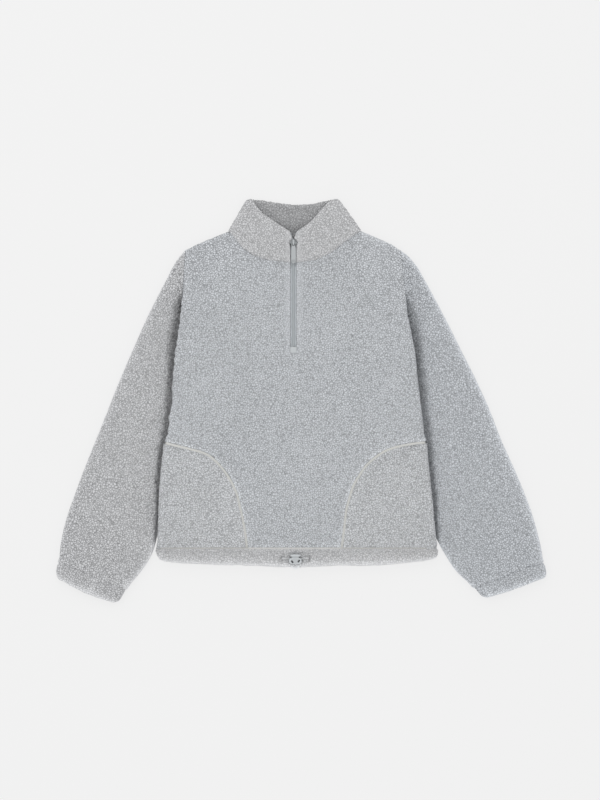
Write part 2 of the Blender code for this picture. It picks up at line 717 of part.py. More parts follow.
def pocket_shell(name, side, thickness, collection, finish):
    """Cloth that lies on the lower front, as thick as asked, over one half of it."""
    x, y, slit = panel_plan(FRONT_TOP)
    rows = slice(0, PANEL_ROWS.index(0) + 1)
    columns = slice(0, slit + 1) if side == "left" else slice(slit + 1, x.shape[1])
    x, y = x[rows, columns], y[rows, columns]
    outer = front_points(x, y, FRONT_TOP, GAP + thickness)
    inner = front_points(x, y, FRONT_TOP, GAP)
    return add_mesh(name, *wall(outer, inner), collection, finish)


def make_pocket(side, collection, cutters):
    """Curved pocket piece and the binding along its opening."""
    far_x = POCKET_FAR_X[side]
    edge = opening_line(side, BINDING_WIDTH + GAP)
    corner = [(far_x, edge[-1, 1]), (far_x, edge[0, 1])]
    pocket = pocket_shell("pocket_" + side, side, POCKET_FLEECE, collection, "fleece")
    region = add_prism("pocket_outline_" + side, np.concatenate([edge, corner]), cutters)
    boolean(pocket, region, 'INTERSECT')
    binding = pocket_shell("pocket_binding_" + side, side, BINDING_HEIGHT, collection,
                           "binding")
    strip = np.concatenate([opening_line(side, 0.0), opening_line(side, BINDING_WIDTH)[::-1]])
    region = add_prism("binding_outline_" + side, strip, cutters)
    boolean(binding, region, 'INTERSECT')
    return pocket, binding


# ---------------------------------------------------------------- zip

def zip_height(y):
    """Height of the cloth beside the zip."""
    y = np.asarray(y, float)
    beside = np.full_like(y, ZIP_X - BAND_HALF)
    below = front_points(beside, np.minimum(y, FRONT_END), FRONT_TOP)[..., 2]
    return below + ease((y - ZIP_RISE[0]) / ZIP_RISE[1]) * ZIP_RISE[2]


def make_tape(collection):
    """Zip tape: closed in the slit, two arms above the slider."""
    y = TAPE["y"]
    x = ZIP_X + np.column_stack([-TAPE["outer"], -TAPE["inner"], TAPE["inner"], TAPE["outer"]])
    rows = np.repeat(y[:, None], 4, axis=1)
    z = np.repeat((zip_height(y) - TAPE_DEPTH)[:, None], 4, axis=1)
    keep = np.ones((len(y) - 1, 3), bool)
    keep[-1, 1] = False
    outer = np.stack([x, rows, z], axis=-1)
    inner = outer - np.array([0.0, 0.0, TAPE_THICKNESS])
    return add_mesh("zip_tape", *wall(outer, inner, keep), collection, "tape")


def make_coil(collection):
    """The closed coil, as one low rounded strip; its teeth are fine surface."""
    rings = []
    for y in COIL_ROWS:
        base = float(zip_height(y)) - TAPE_DEPTH + GAP
        rings.append([(ZIP_X + across * COIL_HALF, y, base + up * COIL_HEIGHT)
                      for across, up in COIL_SECTION])
    return add_mesh("zip_coil", *loft(rings, False), collection, "tape")


def make_patch(collection):
    """Square of smooth cloth sewn over the zip's lower end."""
    width, length, thickness = PATCH_SIZE
    x, y = np.meshgrid(ZIP_X + np.array([-0.5, 0.0, 0.5]) * width,
                       ZIP_BOTTOM + np.array([-0.5, 0.0, 0.5]) * length)
    level = max(float(zip_height(ZIP_BOTTOM - length)), float(zip_height(ZIP_BOTTOM + length)))
    z = np.full_like(x, level + PATCH_CLEARANCE)
    inner = np.stack([x, y, z], axis=-1)
    outer = inner + np.array([0.0, 0.0, thickness])
    return add_mesh("zip_patch", *wall(outer, inner), collection, "tape")


def make_slider(collection, cutters):
    """Slider with the bridge that its pull tab hangs on."""
    width, length, height = SLIDER_SIZE
    centre = (ZIP_X, SLIDER_CENTRE_Y, SLIDER_BASE_Z + height / 2)
    slider = add_box("zip_slider", centre, SLIDER_SIZE, collection)
    add_bevel(slider, SMALL_BEVEL, 2)
    deck = SLIDER_BASE_Z + height
    bridge = add_box("slider_bridge", (ZIP_X, SLIDER_CENTRE_Y, deck + BRIDGE_HEIGHT / 2 - 0.5),
                     (BRIDGE_WIDTH, BRIDGE_LENGTH, BRIDGE_HEIGHT + 1.0), cutters)
    boolean(slider, cutter_from(bridge), 'UNION')
    room = BRIDGE_HEIGHT - BRIDGE_WALL
    opening = add_box("bridge_opening", (ZIP_X, SLIDER_CENTRE_Y, deck + room / 2),
                      (BRIDGE_WIDTH + 4.0, BRIDGE_LENGTH - 2 * BRIDGE_WALL, room), cutters)
    boolean(slider, cutter_from(opening), 'DIFFERENCE')
    add_material(slider, "plastic")
    return slider


def make_pull(collection):
    """Pull tab, with its origin on the crossbar that it swings about."""
    half = np.array(PULL_OUTLINE)
    outline = np.concatenate([half, half[::-1] * np.array([-1.0, 1.0])])
    width, high, low = PULL_HOLE
    hole = np.array([(-width, high), (width, high), (width, low), (-width, low)])
    shape = bpy.data.curves.new("pull_tab", 'CURVE')
    shape.dimensions = '2D'
    shape.fill_mode = 'BOTH'
    shape.extrude = PULL_THICKNESS / 2 * MM
    for points in (outline, hole):
        spline = shape.splines.new('POLY')
        spline.points.add(len(points) - 1)
        spline.use_cyclic_u = True
        for point, (x, y) in zip(spline.points, points):
            point.co = (x * MM, y * MM, 0.0, 1.0)
    pull = bpy.data.objects.new("pull_tab", shape)
    axle = SLIDER_BASE_Z + SLIDER_SIZE[2] + AXLE_HEIGHT
    pull.location = (ZIP_X * MM, SLIDER_CENTRE_Y * MM, axle * MM)
    pull.rotation_euler.x = PULL_TILT
    collection.objects.link(pull)
    add_material(pull, "plastic")
    return pull


# ---------------------------------------------------------------- drawcord and lock

def cord_points():
    """Points along the drawcord, evenly spaced on a smooth curve through its route."""
    left = np.array(CORD_ROUTE)
    right = left[:-1][::-1] * np.array([-1.0, 1.0, 1.0])
    route = np.concatenate([left, right]) + np.array([LOCK_CENTRE[0], 0.0, 0.0])
    padded = np.concatenate([[2 * route[0] - route[1]], route, [2 * route[-1] - route[-2]]])
    fine = []
    for a, b, c, d in zip(padded, padded[1:], padded[2:], padded[3:]):
        for t in np.linspace(0.0, 1.0, 12, endpoint=False):
            fine.append(0.5 * (2 * b + (c - a) * t + (2 * a - 5 * b + 4 * c - d) * t ** 2
                               + (3 * b - a - 3 * c + d) * t ** 3))
    fine = np.array(fine + [route[-1]])
    run = np.concatenate([[0.0], np.cumsum(np.linalg.norm(np.diff(fine, axis=0), axis=1))])
    places = np.linspace(0.0, run[-1], int(round(run[-1] / CORD_STEP)) + 1)
    return np.column_stack([np.interp(places, run, fine[:, axis]) for axis in range(3)])


def add_tube(name, points, radius, collection):
    """A tube along points: a POLY curve with a round bevel and filled caps."""
    curve = bpy.data.curves.new(name, 'CURVE')
    curve.dimensions = '3D'
    curve.bevel_depth = radius * MM
    curve.bevel_resolution = 2
    curve.use_fill_caps = True
    spline = curve.splines.new('POLY')
    spline.points.add(len(points) - 1)
    for point, place in zip(spline.points, points):
        point.co = tuple(float(value) * MM for value in place) + (1.0,)
    tube = bpy.data.objects.new(name, curve)
    collection.objects.link(tube)
    return tube


def tube_mesh(tube, collection):
    """The tube as a closed mesh object, in place of the curve."""
    bpy.context.view_layer.update()
    evaluated = tube.evaluated_get(bpy.context.evaluated_depsgraph_get())
    mesh = bpy.data.meshes.new_from_object(evaluated)
    shape = bmesh.new()
    shape.from_mesh(mesh)
    bmesh.ops.remove_doubles(shape, verts=shape.verts, dist=1e-6)
    bmesh.ops.recalc_face_normals(shape, faces=shape.faces)
    shape.to_mesh(mesh)
    shape.free()
    solid = bpy.data.objects.new(tube.name + "_solid", mesh)
    solid.matrix_world = tube.matrix_world
    collection.objects.link(solid)
    bpy.data.objects.remove(tube)
    return solid


def make_cord(collection):
    cord = add_tube("drawcord", cord_points(), CORD_DIAMETER / 2, collection)
    add_material(cord, "cord")
    return cord


def make_lock(collection, cutters):
    """Cord lock: channels for the cord, two slots on its face, a room for the plunger."""
    lock = add_box("cord_lock", LOCK_CENTRE, LOCK_SIZE, collection)
    add_bevel(lock, LOCK_BEVEL, 3)
    channel = tube_mesh(add_tube("cord_channel", cord_points(), CHANNEL_RADIUS, cutters), cutters)
    boolean(lock, cutter_from(channel), 'DIFFERENCE')
    stem_room = [size + 2 * GAP for size in PLUNGER_STEM]
    top_y = LOCK_CENTRE[1] + LOCK_SIZE[1] / 2
    room_length = PLUNGER_STEM[1] - PLUNGER_GAP + PLUNGER_ROOM
    room = add_box("plunger_room", (LOCK_CENTRE[0], top_y - room_length / 2 + 0.5, LOCK_CENTRE[2]),
                   (stem_room[0], room_length + 1.0, stem_room[2]), cutters)
    boolean(lock, cutter_from(room), 'DIFFERENCE')
    for number, (x, y, turn) in enumerate(LOCK_SLOT_AT):
        face = LOCK_CENTRE[2] + LOCK_SIZE[2] / 2
        slot = add_box("lock_slot_%d" % (number + 1),
                       (LOCK_CENTRE[0] + x, LOCK_CENTRE[1] + y, face),
                       (LOCK_SLOT[0], LOCK_SLOT[1], LOCK_SLOT[2] * 2), cutters,
                       math.radians(turn))
        boolean(lock, cutter_from(slot), 'DIFFERENCE')
    add_material(lock, "plastic")
    return lock


def make_plunger(collection, cutters):
    """Spring button of the cord lock: a cap and a stem in one piece."""
    top_y = LOCK_CENTRE[1] + LOCK_SIZE[1] / 2
    cap_y = top_y + PLUNGER_GAP + PLUNGER_CAP[1] / 2
    plunger = add_box("lock_plunger", (LOCK_CENTRE[0], cap_y, LOCK_CENTRE[2]), PLUNGER_CAP,
                      collection)
    add_bevel(plunger, SMALL_BEVEL, 2)
    stem_y = cap_y - PLUNGER_STEM[1] / 2
    stem = add_box("plunger_stem", (LOCK_CENTRE[0], stem_y, LOCK_CENTRE[2]), PLUNGER_STEM, cutters)
    boolean(plunger, cutter_from(stem), 'UNION')
    add_material(plunger, "plastic")
    return plunger


def main():
    for obj in list(bpy.data.objects):
        bpy.data.objects.remove(obj)
    parts = make_collection("fleece_pullover")
    cutters = make_collection("cutters")
    make_back(parts)
    make_front(parts)
    for side, rows in (("left", LEFT_SLEEVE), ("right", RIGHT_SLEEVE)):
        make_sleeve(side, rows, parts)
        make_cuff(side, rows, parts)
        make_pocket(side, parts, cutters)
    make_hem(parts, cutters)
    make_collar(parts)
    make_tape(parts)
    make_coil(parts)
    make_patch(parts)
    make_slider(parts, cutters)
    make_pull(parts)
    make_cord(parts)
    make_lock(parts, cutters)
    make_plunger(parts, cutters)


main()
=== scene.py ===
# %% [markdown]
# # A sherpa fleece pullover, laid flat on a table
#
# The pullover is made piece by piece, as a sewing room would make it: panels, sleeves,
# cuffs, collar, hem casing, pockets, zip and drawcord.  Every cloth piece is a thin
# shell over a smooth form, and the curly pile is pressed into its outer face.
# Sizes are in millimetres and become metres when a mesh is made.

import bmesh
import bpy
import numpy as np
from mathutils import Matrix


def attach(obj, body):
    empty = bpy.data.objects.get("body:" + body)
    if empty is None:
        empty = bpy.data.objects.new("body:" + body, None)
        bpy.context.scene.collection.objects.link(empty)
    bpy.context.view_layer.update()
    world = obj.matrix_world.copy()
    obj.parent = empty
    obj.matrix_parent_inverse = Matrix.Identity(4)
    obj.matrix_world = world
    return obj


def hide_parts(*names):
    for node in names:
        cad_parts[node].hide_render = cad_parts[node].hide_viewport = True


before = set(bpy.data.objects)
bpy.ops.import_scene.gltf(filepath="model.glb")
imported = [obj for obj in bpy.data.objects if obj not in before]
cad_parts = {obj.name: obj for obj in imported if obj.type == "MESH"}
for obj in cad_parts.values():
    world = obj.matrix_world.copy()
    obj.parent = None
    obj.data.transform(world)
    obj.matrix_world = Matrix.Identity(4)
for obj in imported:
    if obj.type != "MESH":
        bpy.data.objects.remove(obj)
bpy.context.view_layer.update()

# %% [markdown]
# ## Camera
#
# A flat garment is looked at from straight above.  A long lens at three metres keeps
# the sleeves from leaning outwards; an orthographic camera would also do, but a real
# one has a little perspective in its edges, which shows the cloth's height.

# %% Camera
MM = 0.001                 # metres in a millimetre
VIEW_HEIGHT = 1.3333       # metres of table from the top of the frame to its bottom
CAMERA_RISE = 3.0          # metres above the table
VIEW_CENTRE = (-0.0017, 0.0008)
SENSOR = 36.0              # height of the camera's sensor, in its own millimetres


def add_object(name, data, location=(0.0, 0.0, 0.0)):
    """An object of the scene that shows the data at a place in metres."""
    obj = bpy.data.objects.new(name, data)
    obj.location = location
    bpy.context.scene.collection.objects.link(obj)
    return obj


camera_data = bpy.data.cameras.new("table_camera")
camera_data.sensor_fit = 'VERTICAL'
camera_data.sensor_height = SENSOR
camera_data.lens = SENSOR * CAMERA_RISE / VIEW_HEIGHT
bpy.context.scene.camera = add_object("table_camera", camera_data, (*VIEW_CENTRE, CAMERA_RISE))
bpy.context.scene.view_settings.view_transform = 'Standard'
print("camera lens", round(camera_data.lens, 1), "mm")

# %% [markdown]
# ## Light
#
# Cloth this pale needs a tent of even light, or its pile turns into hard black and
# white specks.  The world is a plain white tent, and one large soft lamp from the
# neck's side gives the folds a direction.

# %% Light
WHITE = (1.0, 1.0, 1.0, 1.0)


def set_sockets(node, values):
    """Sets the inputs of a shader node by their names."""
    for socket, value in values.items():
        node.inputs[socket].default_value = value


world = bpy.data.worlds.new("light_tent")
world.use_nodes = True
set_sockets(world.node_tree.nodes["Background"], {"Color": WHITE, "Strength": 0.86})
bpy.context.scene.world = world

lamp_data = bpy.data.lights.new("soft_lamp", 'AREA')
lamp_data.size = 3.0
lamp_data.energy = 14.0
lamp = add_object("soft_lamp", lamp_data, (-0.9, 1.3, 2.2))
lamp.rotation_euler = (-0.53, -0.33, 0.0)
print("world and one soft lamp")

# %% [markdown]
# ## Finishes
#
# Each finish is one node material.  A piece carries an attribute, tone, worked out
# together with its shape; much of it is painted light: pile tips lighter and the gaps
# between curls darker as painted shade, painted highlights along some edges and painted
# shade in crevices and recesses.
# The material multiplies its colour by that, adds a little mottling, and a fine noise
# bump stands for the fibres that are too small to model.

# %% Finishes
SHEEN_ROUGHNESS = 0.6
MOTTLE_SCALE = 22.0        # patches of slightly different shade, to the metre
WANDER_SIZE, WANDER = 5.0, 3.2     # size and reach of the noise that bends the clumps
CROWN_EDGE = 0.16          # share of a cell over which a clump's crown rises
CLUMP_RELIEF = 0.6


def add_node(tree, kind, wires, values=None, **settings):
    """A shader node with its settings, the values of its inputs and what is wired to them."""
    node = tree.nodes.new("ShaderNode" + kind)
    for label, setting in settings.items():
        setattr(node, label, setting)
    set_sockets(node, values or {})
    for socket, source in wires.items():
        tree.links.new(source, node.inputs[socket])
    return node


def finish(name, colour, roughness, grain, grain_depth, distortion=0.0, sheen=0.0,
           specular=0.3, mottle=0.03):
    """Principled material: colour x tone x mottling, and a noise bump of size grain (mm)."""
    material = bpy.data.materials.new(name)
    material.use_nodes = True
    tree = material.node_tree
    shader = tree.nodes["Principled BSDF"]
    set_sockets(shader, {"Roughness": roughness, "Specular IOR Level": specular,
                         "Sheen Weight": sheen, "Sheen Roughness": SHEEN_ROUGHNESS})
    place = add_node(tree, "TexCoord", {}).outputs["Object"]
    tone = add_node(tree, "Attribute", {}, attribute_name="tone").outputs["Fac"]
    patches = add_node(tree, "TexNoise", {"Vector": place},
                       {"Scale": MOTTLE_SCALE, "Detail": 3.0}).outputs["Fac"]
    spread = add_node(tree, "MapRange", {"Value": patches},
                      {"To Min": 1.0 - mottle, "To Max": 1.0 + mottle}).outputs["Result"]
    shade = add_node(tree, "Math", {0: tone, 1: spread}, operation='MULTIPLY').outputs["Value"]
    paint = add_node(tree, "VectorMath", {"Scale": shade}, {0: colour}, operation='SCALE')
    fibres = add_node(tree, "TexNoise", {"Vector": place}, {
        "Scale": 1.0 / (grain * MM), "Detail": 2.0, "Distortion": distortion}).outputs["Fac"]
    relief = add_node(tree, "Bump", {"Height": fibres},
                      {"Strength": 1.0, "Distance": grain_depth * MM})
    tree.links.new(paint.outputs["Vector"], shader.inputs["Base Color"])
    tree.links.new(relief.outputs["Normal"], shader.inputs["Normal"])
    return material


def sherpa(name, colour, clump=3.4, dark=0.58, light=1.14):
    """Fleece: a finish whose colour and bump also follow small bent clumps.

    The place is first shifted by a smooth noise, which bends the clumps.  A clump's
    crown rises from 0 where two cells meet to 1 a sixth of a cell inside, and the colour
    with it: painted shade where the clumps meet.  Where the piece's attribute, pressed,
    is 1, the pattern fades out: where the pile lies flat, and under painted highlights.
    """
    material = finish(name, colour, 0.95, 1.1, 0.35, distortion=0.8, sheen=0.10, specular=0.08)
    tree = material.node_tree
    place, paint, relief = (next(node for node in tree.nodes if node.type == kind)
                            for kind in ('TEX_COORD', 'VECT_MATH', 'BUMP'))
    place = place.outputs["Object"]
    wander = add_node(tree, "TexNoise", {"Vector": place},
                      {"Scale": 1.0 / (WANDER_SIZE * MM), "Detail": 1.0}).outputs["Color"]
    bent = add_node(tree, "VectorMath", {0: wander, 2: place}, {1: [WANDER * MM] * 3},
                    operation='MULTIPLY_ADD').outputs["Vector"]
    cells = add_node(tree, "TexVoronoi", {"Vector": bent}, {"Scale": 1.0 / (clump * MM)},
                     feature='DISTANCE_TO_EDGE').outputs["Distance"]
    crown = add_node(tree, "MapRange", {"Value": cells}, {"From Min": 0.0, "From Max": CROWN_EDGE},
                     interpolation_type='SMOOTHSTEP').outputs["Result"]
    # painted shade: darker where two clumps meet, lighter on their crowns
    shade = add_node(tree, "MapRange", {"Value": crown},
                     {"To Min": dark, "To Max": light}).outputs["Result"]
    pressed = add_node(tree, "Attribute", {}, attribute_name="pressed").outputs["Fac"]
    fade = add_node(tree, "Mix", {"Factor": pressed, "A": shade}, {"B": 1.0}).outputs["Result"]
    first = paint.inputs["Scale"].links[0].from_socket
    both = add_node(tree, "Math", {0: first, 1: fade}, operation='MULTIPLY').outputs["Value"]
    tree.links.new(both, paint.inputs["Scale"])
    clumps = add_node(tree, "Bump", {"Height": crown},
                      {"Strength": 1.0, "Distance": CLUMP_RELIEF * MM})
    tree.links.new(clumps.outputs["Normal"], relief.inputs["Normal"])
    return material


FLEECE_PILE = sherpa("sherpa_body", (0.605, 0.626, 0.654))
FLEECE_SLEEVES = {"left": sherpa("sherpa_left_sleeve", (0.614, 0.620, 0.634)),
                  "right": sherpa("sherpa_right_sleeve", (0.588, 0.612, 0.644))}
FLEECE_POCKET = sherpa("sherpa_pocket", (0.642, 0.656, 0.676))
FLEECE_TRIM = sherpa("sherpa_collar_and_hem", (0.640, 0.644, 0.656), dark=0.66, light=1.10)
KNIT_BINDING = finish("knit_binding", (0.610, 0.612, 0.592), 0.85, 0.9, 0.2, specular=0.15)
KNIT_PIPING = finish("knit_piping", (0.665, 0.662, 0.650), 0.85, 0.9, 0.2, specular=0.15)
ZIP_TAPE = finish("zip_tape_weave", (0.60, 0.635, 0.66), 0.8, 0.7, 0.12, specular=0.2)
NYLON = finish("zip_nylon", (0.50, 0.53, 0.55), 0.45, 1.5, 0.03, specular=0.4)
MOULDED = finish("moulded_plastic", (0.52, 0.545, 0.56), 0.42, 1.2, 0.04, specular=0.45,
                 mottle=0.015)
BRAID = finish("braided_cord", (0.60, 0.612, 0.622), 0.75, 0.5, 0.08, specular=0.25)
THREAD = finish("sewing_thread", (0.56, 0.58, 0.60), 0.6, 0.4, 0.05, specular=0.3)
print("finishes:", len(bpy.data.materials) - len(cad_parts), "made")

# %% [markdown]
# ## Floor
#
# A plain pale table top, far larger than the view.  It is lit from below as well as
# from above, as a light table is, so that the garment leaves hardly any shadow on it.

# %% Floor
FLOOR_HALF = 6             # metres

floor_mesh = bpy.data.meshes.new("table_top")
floor_mesh.from_pydata([(x * FLOOR_HALF, y * FLOOR_HALF, 0) for x, y in
                        ((-1, -1), (1, -1), (1, 1), (-1, 1))], [], [(0, 1, 2, 3)])
floor = add_object("table_top", floor_mesh, (0.0, 0.0, -0.0004))
floor_finish = bpy.data.materials.new("table_white")
floor_finish.use_nodes = True
set_sockets(floor_finish.node_tree.nodes["Principled BSDF"], {
    "Base Color": (0.18, 0.18, 0.18, 1.0), "Roughness": 0.9, "Specular IOR Level": 0.0,
    "Emission Color": WHITE, "Emission Strength": 0.71})
floor.data.materials.append(floor_finish)
print("floor placed")

# %% [markdown]
# ## Helpers for grids
#
# A cloth piece is a fine outer grid and a coarse inner grid, joined by a rim along
# every open edge.  The inside never shows, so one inner cell stands behind a block of
# outer cells; each rim face joins the fine edge of one block to one coarse edge.

# %% Helpers for grids
STRIDE = 4                 # outer cells along one inner cell
FINE = 1.0
INSIDE_TONE = 0.9


def ease(value):
    """0 below 0, 1 above 1, and 3t^2 - 2t^3 between."""
    t = np.clip(value, 0.0, 1.0)
    return t * t * (3.0 - 2.0 * t)


def mix(a, b, share):
    """A straight blend: a where share is 0, b where it is 1."""
    return a + (b - a) * share


def span(value, first, last, run):
    """1 between first and last, easing to 0 at both over run."""
    return ease((value - first) / run) * ease((last - value) / run)


def table(names, rows):
    """Rows of numbers as one array for each named column."""
    return dict(zip(names.split(), np.array(rows, float).T))


def blocks(length, step):
    """Number of cells of about that step along a length, as whole blocks of STRIDE."""
    return max(1, int(round(length / (step * FINE * STRIDE)))) * STRIDE


def unit_rows(vectors):
    """Each row brought to length 1."""
    return vectors / np.linalg.norm(vectors, axis=1, keepdims=True)


def quarter_left(along):
    """Directions in plan, turned a quarter to the left: (-y, x)."""
    return np.column_stack([-along[:, 1], along[:, 0]])


def run_along(points):
    """Distance along a line of points, from 0 at its first one."""
    return np.concatenate([[0.0], np.cumsum(np.linalg.norm(np.diff(points, axis=0), axis=1))])


def full_turn(count):
    """Evenly spaced angles once round a circle."""
    return np.linspace(0.0, 2.0 * np.pi, count, endpoint=False)


def smooth_line(points, number):
    """Catmull-Rom curve through points, resampled at evenly spaced places along it."""
    points = np.asarray(points, float)
    ends = np.concatenate([[2 * points[0] - points[1]], points, [2 * points[-1] - points[-2]]])
    a, b, c, d = (ends[k:len(ends) - 3 + k][:, None] for k in range(4))
    t = np.linspace(0.0, 1.0, 16, endpoint=False)[None, :, None]
    fine = 0.5 * (2 * b + (c - a) * t + (2 * a - 5 * b + 4 * c - d) * t ** 2
                  + (3 * b - a - 3 * c + d) * t ** 3)
    fine = np.concatenate([fine.reshape(-1, points.shape[1]), points[-1:]])
    run = run_along(fine)
    places = np.linspace(0.0, run[-1], number)
    return np.column_stack([np.interp(places, run, fine[:, k]) for k in range(points.shape[1])])


def quads(rows, columns, closed, first=0, turned=False, keep=None):
    """Index array of a grid's faces, each running right, up and back."""
    cells = (rows - 1, columns if closed else columns - 1)
    r, c = np.nonzero(np.ones(cells, bool) if keep is None else keep)
    right = (c + 1) % columns
    faces = np.stack([r * columns + c, r * columns + right,
                      (r + 1) * columns + right, (r + 1) * columns + c], axis=1) + first
    return faces[:, ::-1] if turned else faces


def capped(rings, first=0):
    """Faces round a stack of rings, with a flat face at each end."""
    number, count = rings.shape[:2]
    last = first + (number - 1) * count
    ends = [list(range(first, first + count))[::-1], list(range(last, last + count))]
    return quads(number, count, True, first).tolist() + ends


def looped(rings):
    """Faces round a stack of rings whose last ring is joined to its first."""
    number, count = rings.shape[:2]
    k = np.arange(count)
    after = (k + 1) % count
    last = (number - 1) * count
    join = np.stack([last + k, last + after, after, k], axis=1)
    return quads(number, count, True).tolist() + join.tolist()


def shell_faces(outer, inner, closed=False, keep=None):
    """Faces of a fine outer grid, a coarse inner grid and the rims between them."""
    fine_columns, columns = outer.shape[1], inner.shape[1]
    first = outer.shape[0] * fine_columns
    cells = (inner.shape[0] - 1, columns if closed else columns - 1)
    keep = np.ones(cells, bool) if keep is None else keep
    faces = quads(*outer.shape[:2], closed, keep=keep.repeat(STRIDE, 0).repeat(STRIDE, 1)).tolist()
    faces += quads(*inner.shape[:2], closed, first, True, keep).tolist()
    padded = np.pad(keep, 1)
    if closed:
        padded[:, 0], padded[:, -1] = padded[:, -2], padded[:, 1]
    here = padded[1:-1, 1:-1]
    steps = np.arange(STRIDE, -1, -1)
    sides = ((padded[:-2, 1:-1], 0, 0, 0, 1), (padded[1:-1, 2:], 0, 1, 1, 1),
             (padded[2:, 1:-1], 1, 1, 1, 0), (padded[1:-1, :-2], 1, 0, 0, 0))
    for beyond, r0, c0, r1, c1 in sides:
        r, c = np.nonzero(here & ~beyond)
        fine_r = (r + r0)[:, None] * STRIDE + (r1 - r0) * steps
        fine_c = ((c + c0)[:, None] * STRIDE + (c1 - c0) * steps) % fine_columns
        ends = np.stack([(r + r0) * columns + (c + c0) % columns,
                         (r + r1) * columns + (c + c1) % columns], axis=1) + first
        faces += np.hstack([fine_r * fine_columns + fine_c, ends]).tolist()
    return faces


def swept(path, side, over, across, up):
    """Rings along a path, their points moved by across along side and by up along over."""
    return path[:, None] + side[:, None] * across[..., None] + over[:, None] * up[..., None]


def outward(grid, closed=False):
    """Unit normals of a grid: its direction across crossed with its direction up."""
    if closed:
        across = np.roll(grid, -1, 1) - np.roll(grid, 1, 1)
    else:
        across = np.gradient(grid, axis=1)
    normal = np.cross(across, np.gradient(grid, axis=0))
    return normal / np.maximum(np.linalg.norm(normal, axis=-1, keepdims=True), 1e-9)


def surface_run(grid):
    """Distance across and distance up along a grid's own surface, in millimetres."""
    def run(axis):
        """Sum of the steps between neighbours, from 0 at the first row or column."""
        steps = np.linalg.norm(np.diff(grid, axis=axis), axis=-1)
        return np.concatenate([np.zeros_like(steps.take([0], axis)), np.cumsum(steps, axis)], axis)
    return run(1), run(0)


def add_piece(name, points, faces, tone, material, body="garment", pressed=0.0):
    """A mesh object at the origin from millimetre points, with its tone and pressed pile."""
    mesh = bpy.data.meshes.new(name)
    points = np.asarray(points, float).reshape(-1, 3)
    mesh.from_pydata((points * MM).tolist(), [], faces)
    mesh.polygons.foreach_set("use_smooth", np.ones(len(mesh.polygons), bool))
    for label, values in (("tone", tone), ("pressed", pressed)):
        share = mesh.attributes.new(label, 'FLOAT', 'POINT')
        share.data.foreach_set("value", np.broadcast_to(values, len(points)).astype(np.float32))
    mesh.materials.append(material)
    mesh.update()
    obj = add_object(name, mesh)
    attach(obj, body)
    print("made %s: %d faces" % (name, len(mesh.polygons)))
    return obj


def add_shell(name, outer, inner, tone, material, pressed=0.0, closed=False, keep=None):
    """A fleece shell: the pile's grid outside and every STRIDE-th point of a plain one inside."""
    inner = inner[::STRIDE, ::STRIDE]
    hidden = np.zeros(inner[..., 0].size)
    points = np.concatenate([outer.reshape(-1, 3), inner.reshape(-1, 3)])
    return add_piece(name, points, shell_faces(outer, inner, closed, keep),
                     np.append(tone, hidden + INSIDE_TONE), material,
                     pressed=np.append(np.broadcast_to(pressed, tone.shape), hidden))


def recalculate(obj):
    """Turns every face of a closed mesh outwards."""
    shape = bmesh.new()
    shape.from_mesh(obj.data)
    bmesh.ops.recalc_face_normals(shape, faces=shape.faces)
    shape.to_mesh(obj.data)
    shape.free()


print("grid helpers ready, fineness", FINE)

# %% [markdown]
# ## Pile
#
# Sherpa pile is knitted loops that have been brushed and tumbled until they curl into
# small clumps like grains of rice, pointing every way.  Hair strands would need
# millions of curves; here every clump is a dome, longer one way than the other, on a
# jittered lattice, and the height anywhere is that of the highest dome.

# %% Pile
CURL_PITCH = 3.2           # from one clump to the next
CURL_LENGTH = 0.98         # half length and half width of a clump, in pitches
CURL_WIDTH = 0.47
PILE_DEPTH = 1.1           # from the tips to the gaps between clumps
WAVE, WAVE_SIZE = 1.3, 5.0     # reach and size of the noise that bends the lattice
MARGIN, JITTER = 0.1, 0.8  # a clump's centre: a margin of its cell and a random share
SHORTEST = 0.72            # height of the lowest clump, where the highest has 1
# Tones of the gaps between clumps and of their tips: painted shade in the gaps
GAP_TONE, TIP_TONE = 0.94, 1.01
PALEST = 1.38              # the most that a tone may be
UNEVEN = 0.012             # how much the tone wanders, in small and in large patches
SMALL_PATCH, LARGE_PATCH = 9.0, 70.0
TABLE_PILE = 0.45          # share of the pile's depth where it lies on the table
MOST_PRESSED = 0.8
SEEDS = {"front_body": 3, "back_body": 17, "sleeve_left": 23, "sleeve_right": 31,
         "cuff_left": 41, "cuff_right": 47, "hem_casing": 53, "collar": 61,
         "pocket_left": 71, "pocket_right": 79}


def scatter(i, j, seed):
    """Repeatable random numbers for lattice places: the fraction of a large sine."""
    return np.abs(np.modf(np.sin(i * 127.1 + j * 311.7 + seed * 74.7) * 43758.5453)[0])


def drift(a, b, size, seed):
    """Smooth random value from -1 to 1: lattice numbers, eased between their places."""
    a, b = np.broadcast_arrays(a, b)
    u, v = a / size, b / size
    i, j = np.floor(u), np.floor(v)
    s, t = ease(u - i), ease(v - j)
    low = mix(scatter(i, j, seed), scatter(i + 1, j, seed), s)
    high = mix(scatter(i, j + 1, seed), scatter(i + 1, j + 1, seed), s)
    return mix(low, high, t) * 2.0 - 1.0


def curls(a, b, seed):
    """Pile height from 0 to 1: the highest of the long domes round each place."""
    u = (a + WAVE * drift(a, b, WAVE_SIZE, seed + 11)) / CURL_PITCH
    v = (b + WAVE * drift(a, b, WAVE_SIZE, seed + 12)) / CURL_PITCH
    i0, j0 = np.floor(u), np.floor(v)
    highest = np.zeros_like(u)
    for i_step in (-1, 0, 1):
        for j_step in (-1, 0, 1):
            i, j = i0 + i_step, j0 + j_step
            du = u - i - MARGIN - JITTER * scatter(i, j, seed)
            dv = v - j - MARGIN - JITTER * scatter(i, j, seed + 1)
            turn = np.pi * scatter(i, j, seed + 2)
            along = (du * np.cos(turn) + dv * np.sin(turn)) / CURL_LENGTH
            across = (dv * np.cos(turn) - du * np.sin(turn)) / CURL_WIDTH
            dome = np.sqrt(np.maximum(1.0 - along ** 2 - across ** 2, 0.0))
            highest = np.maximum(highest, dome * mix(SHORTEST, 1.0, scatter(i, j, seed + 3)))
    return highest


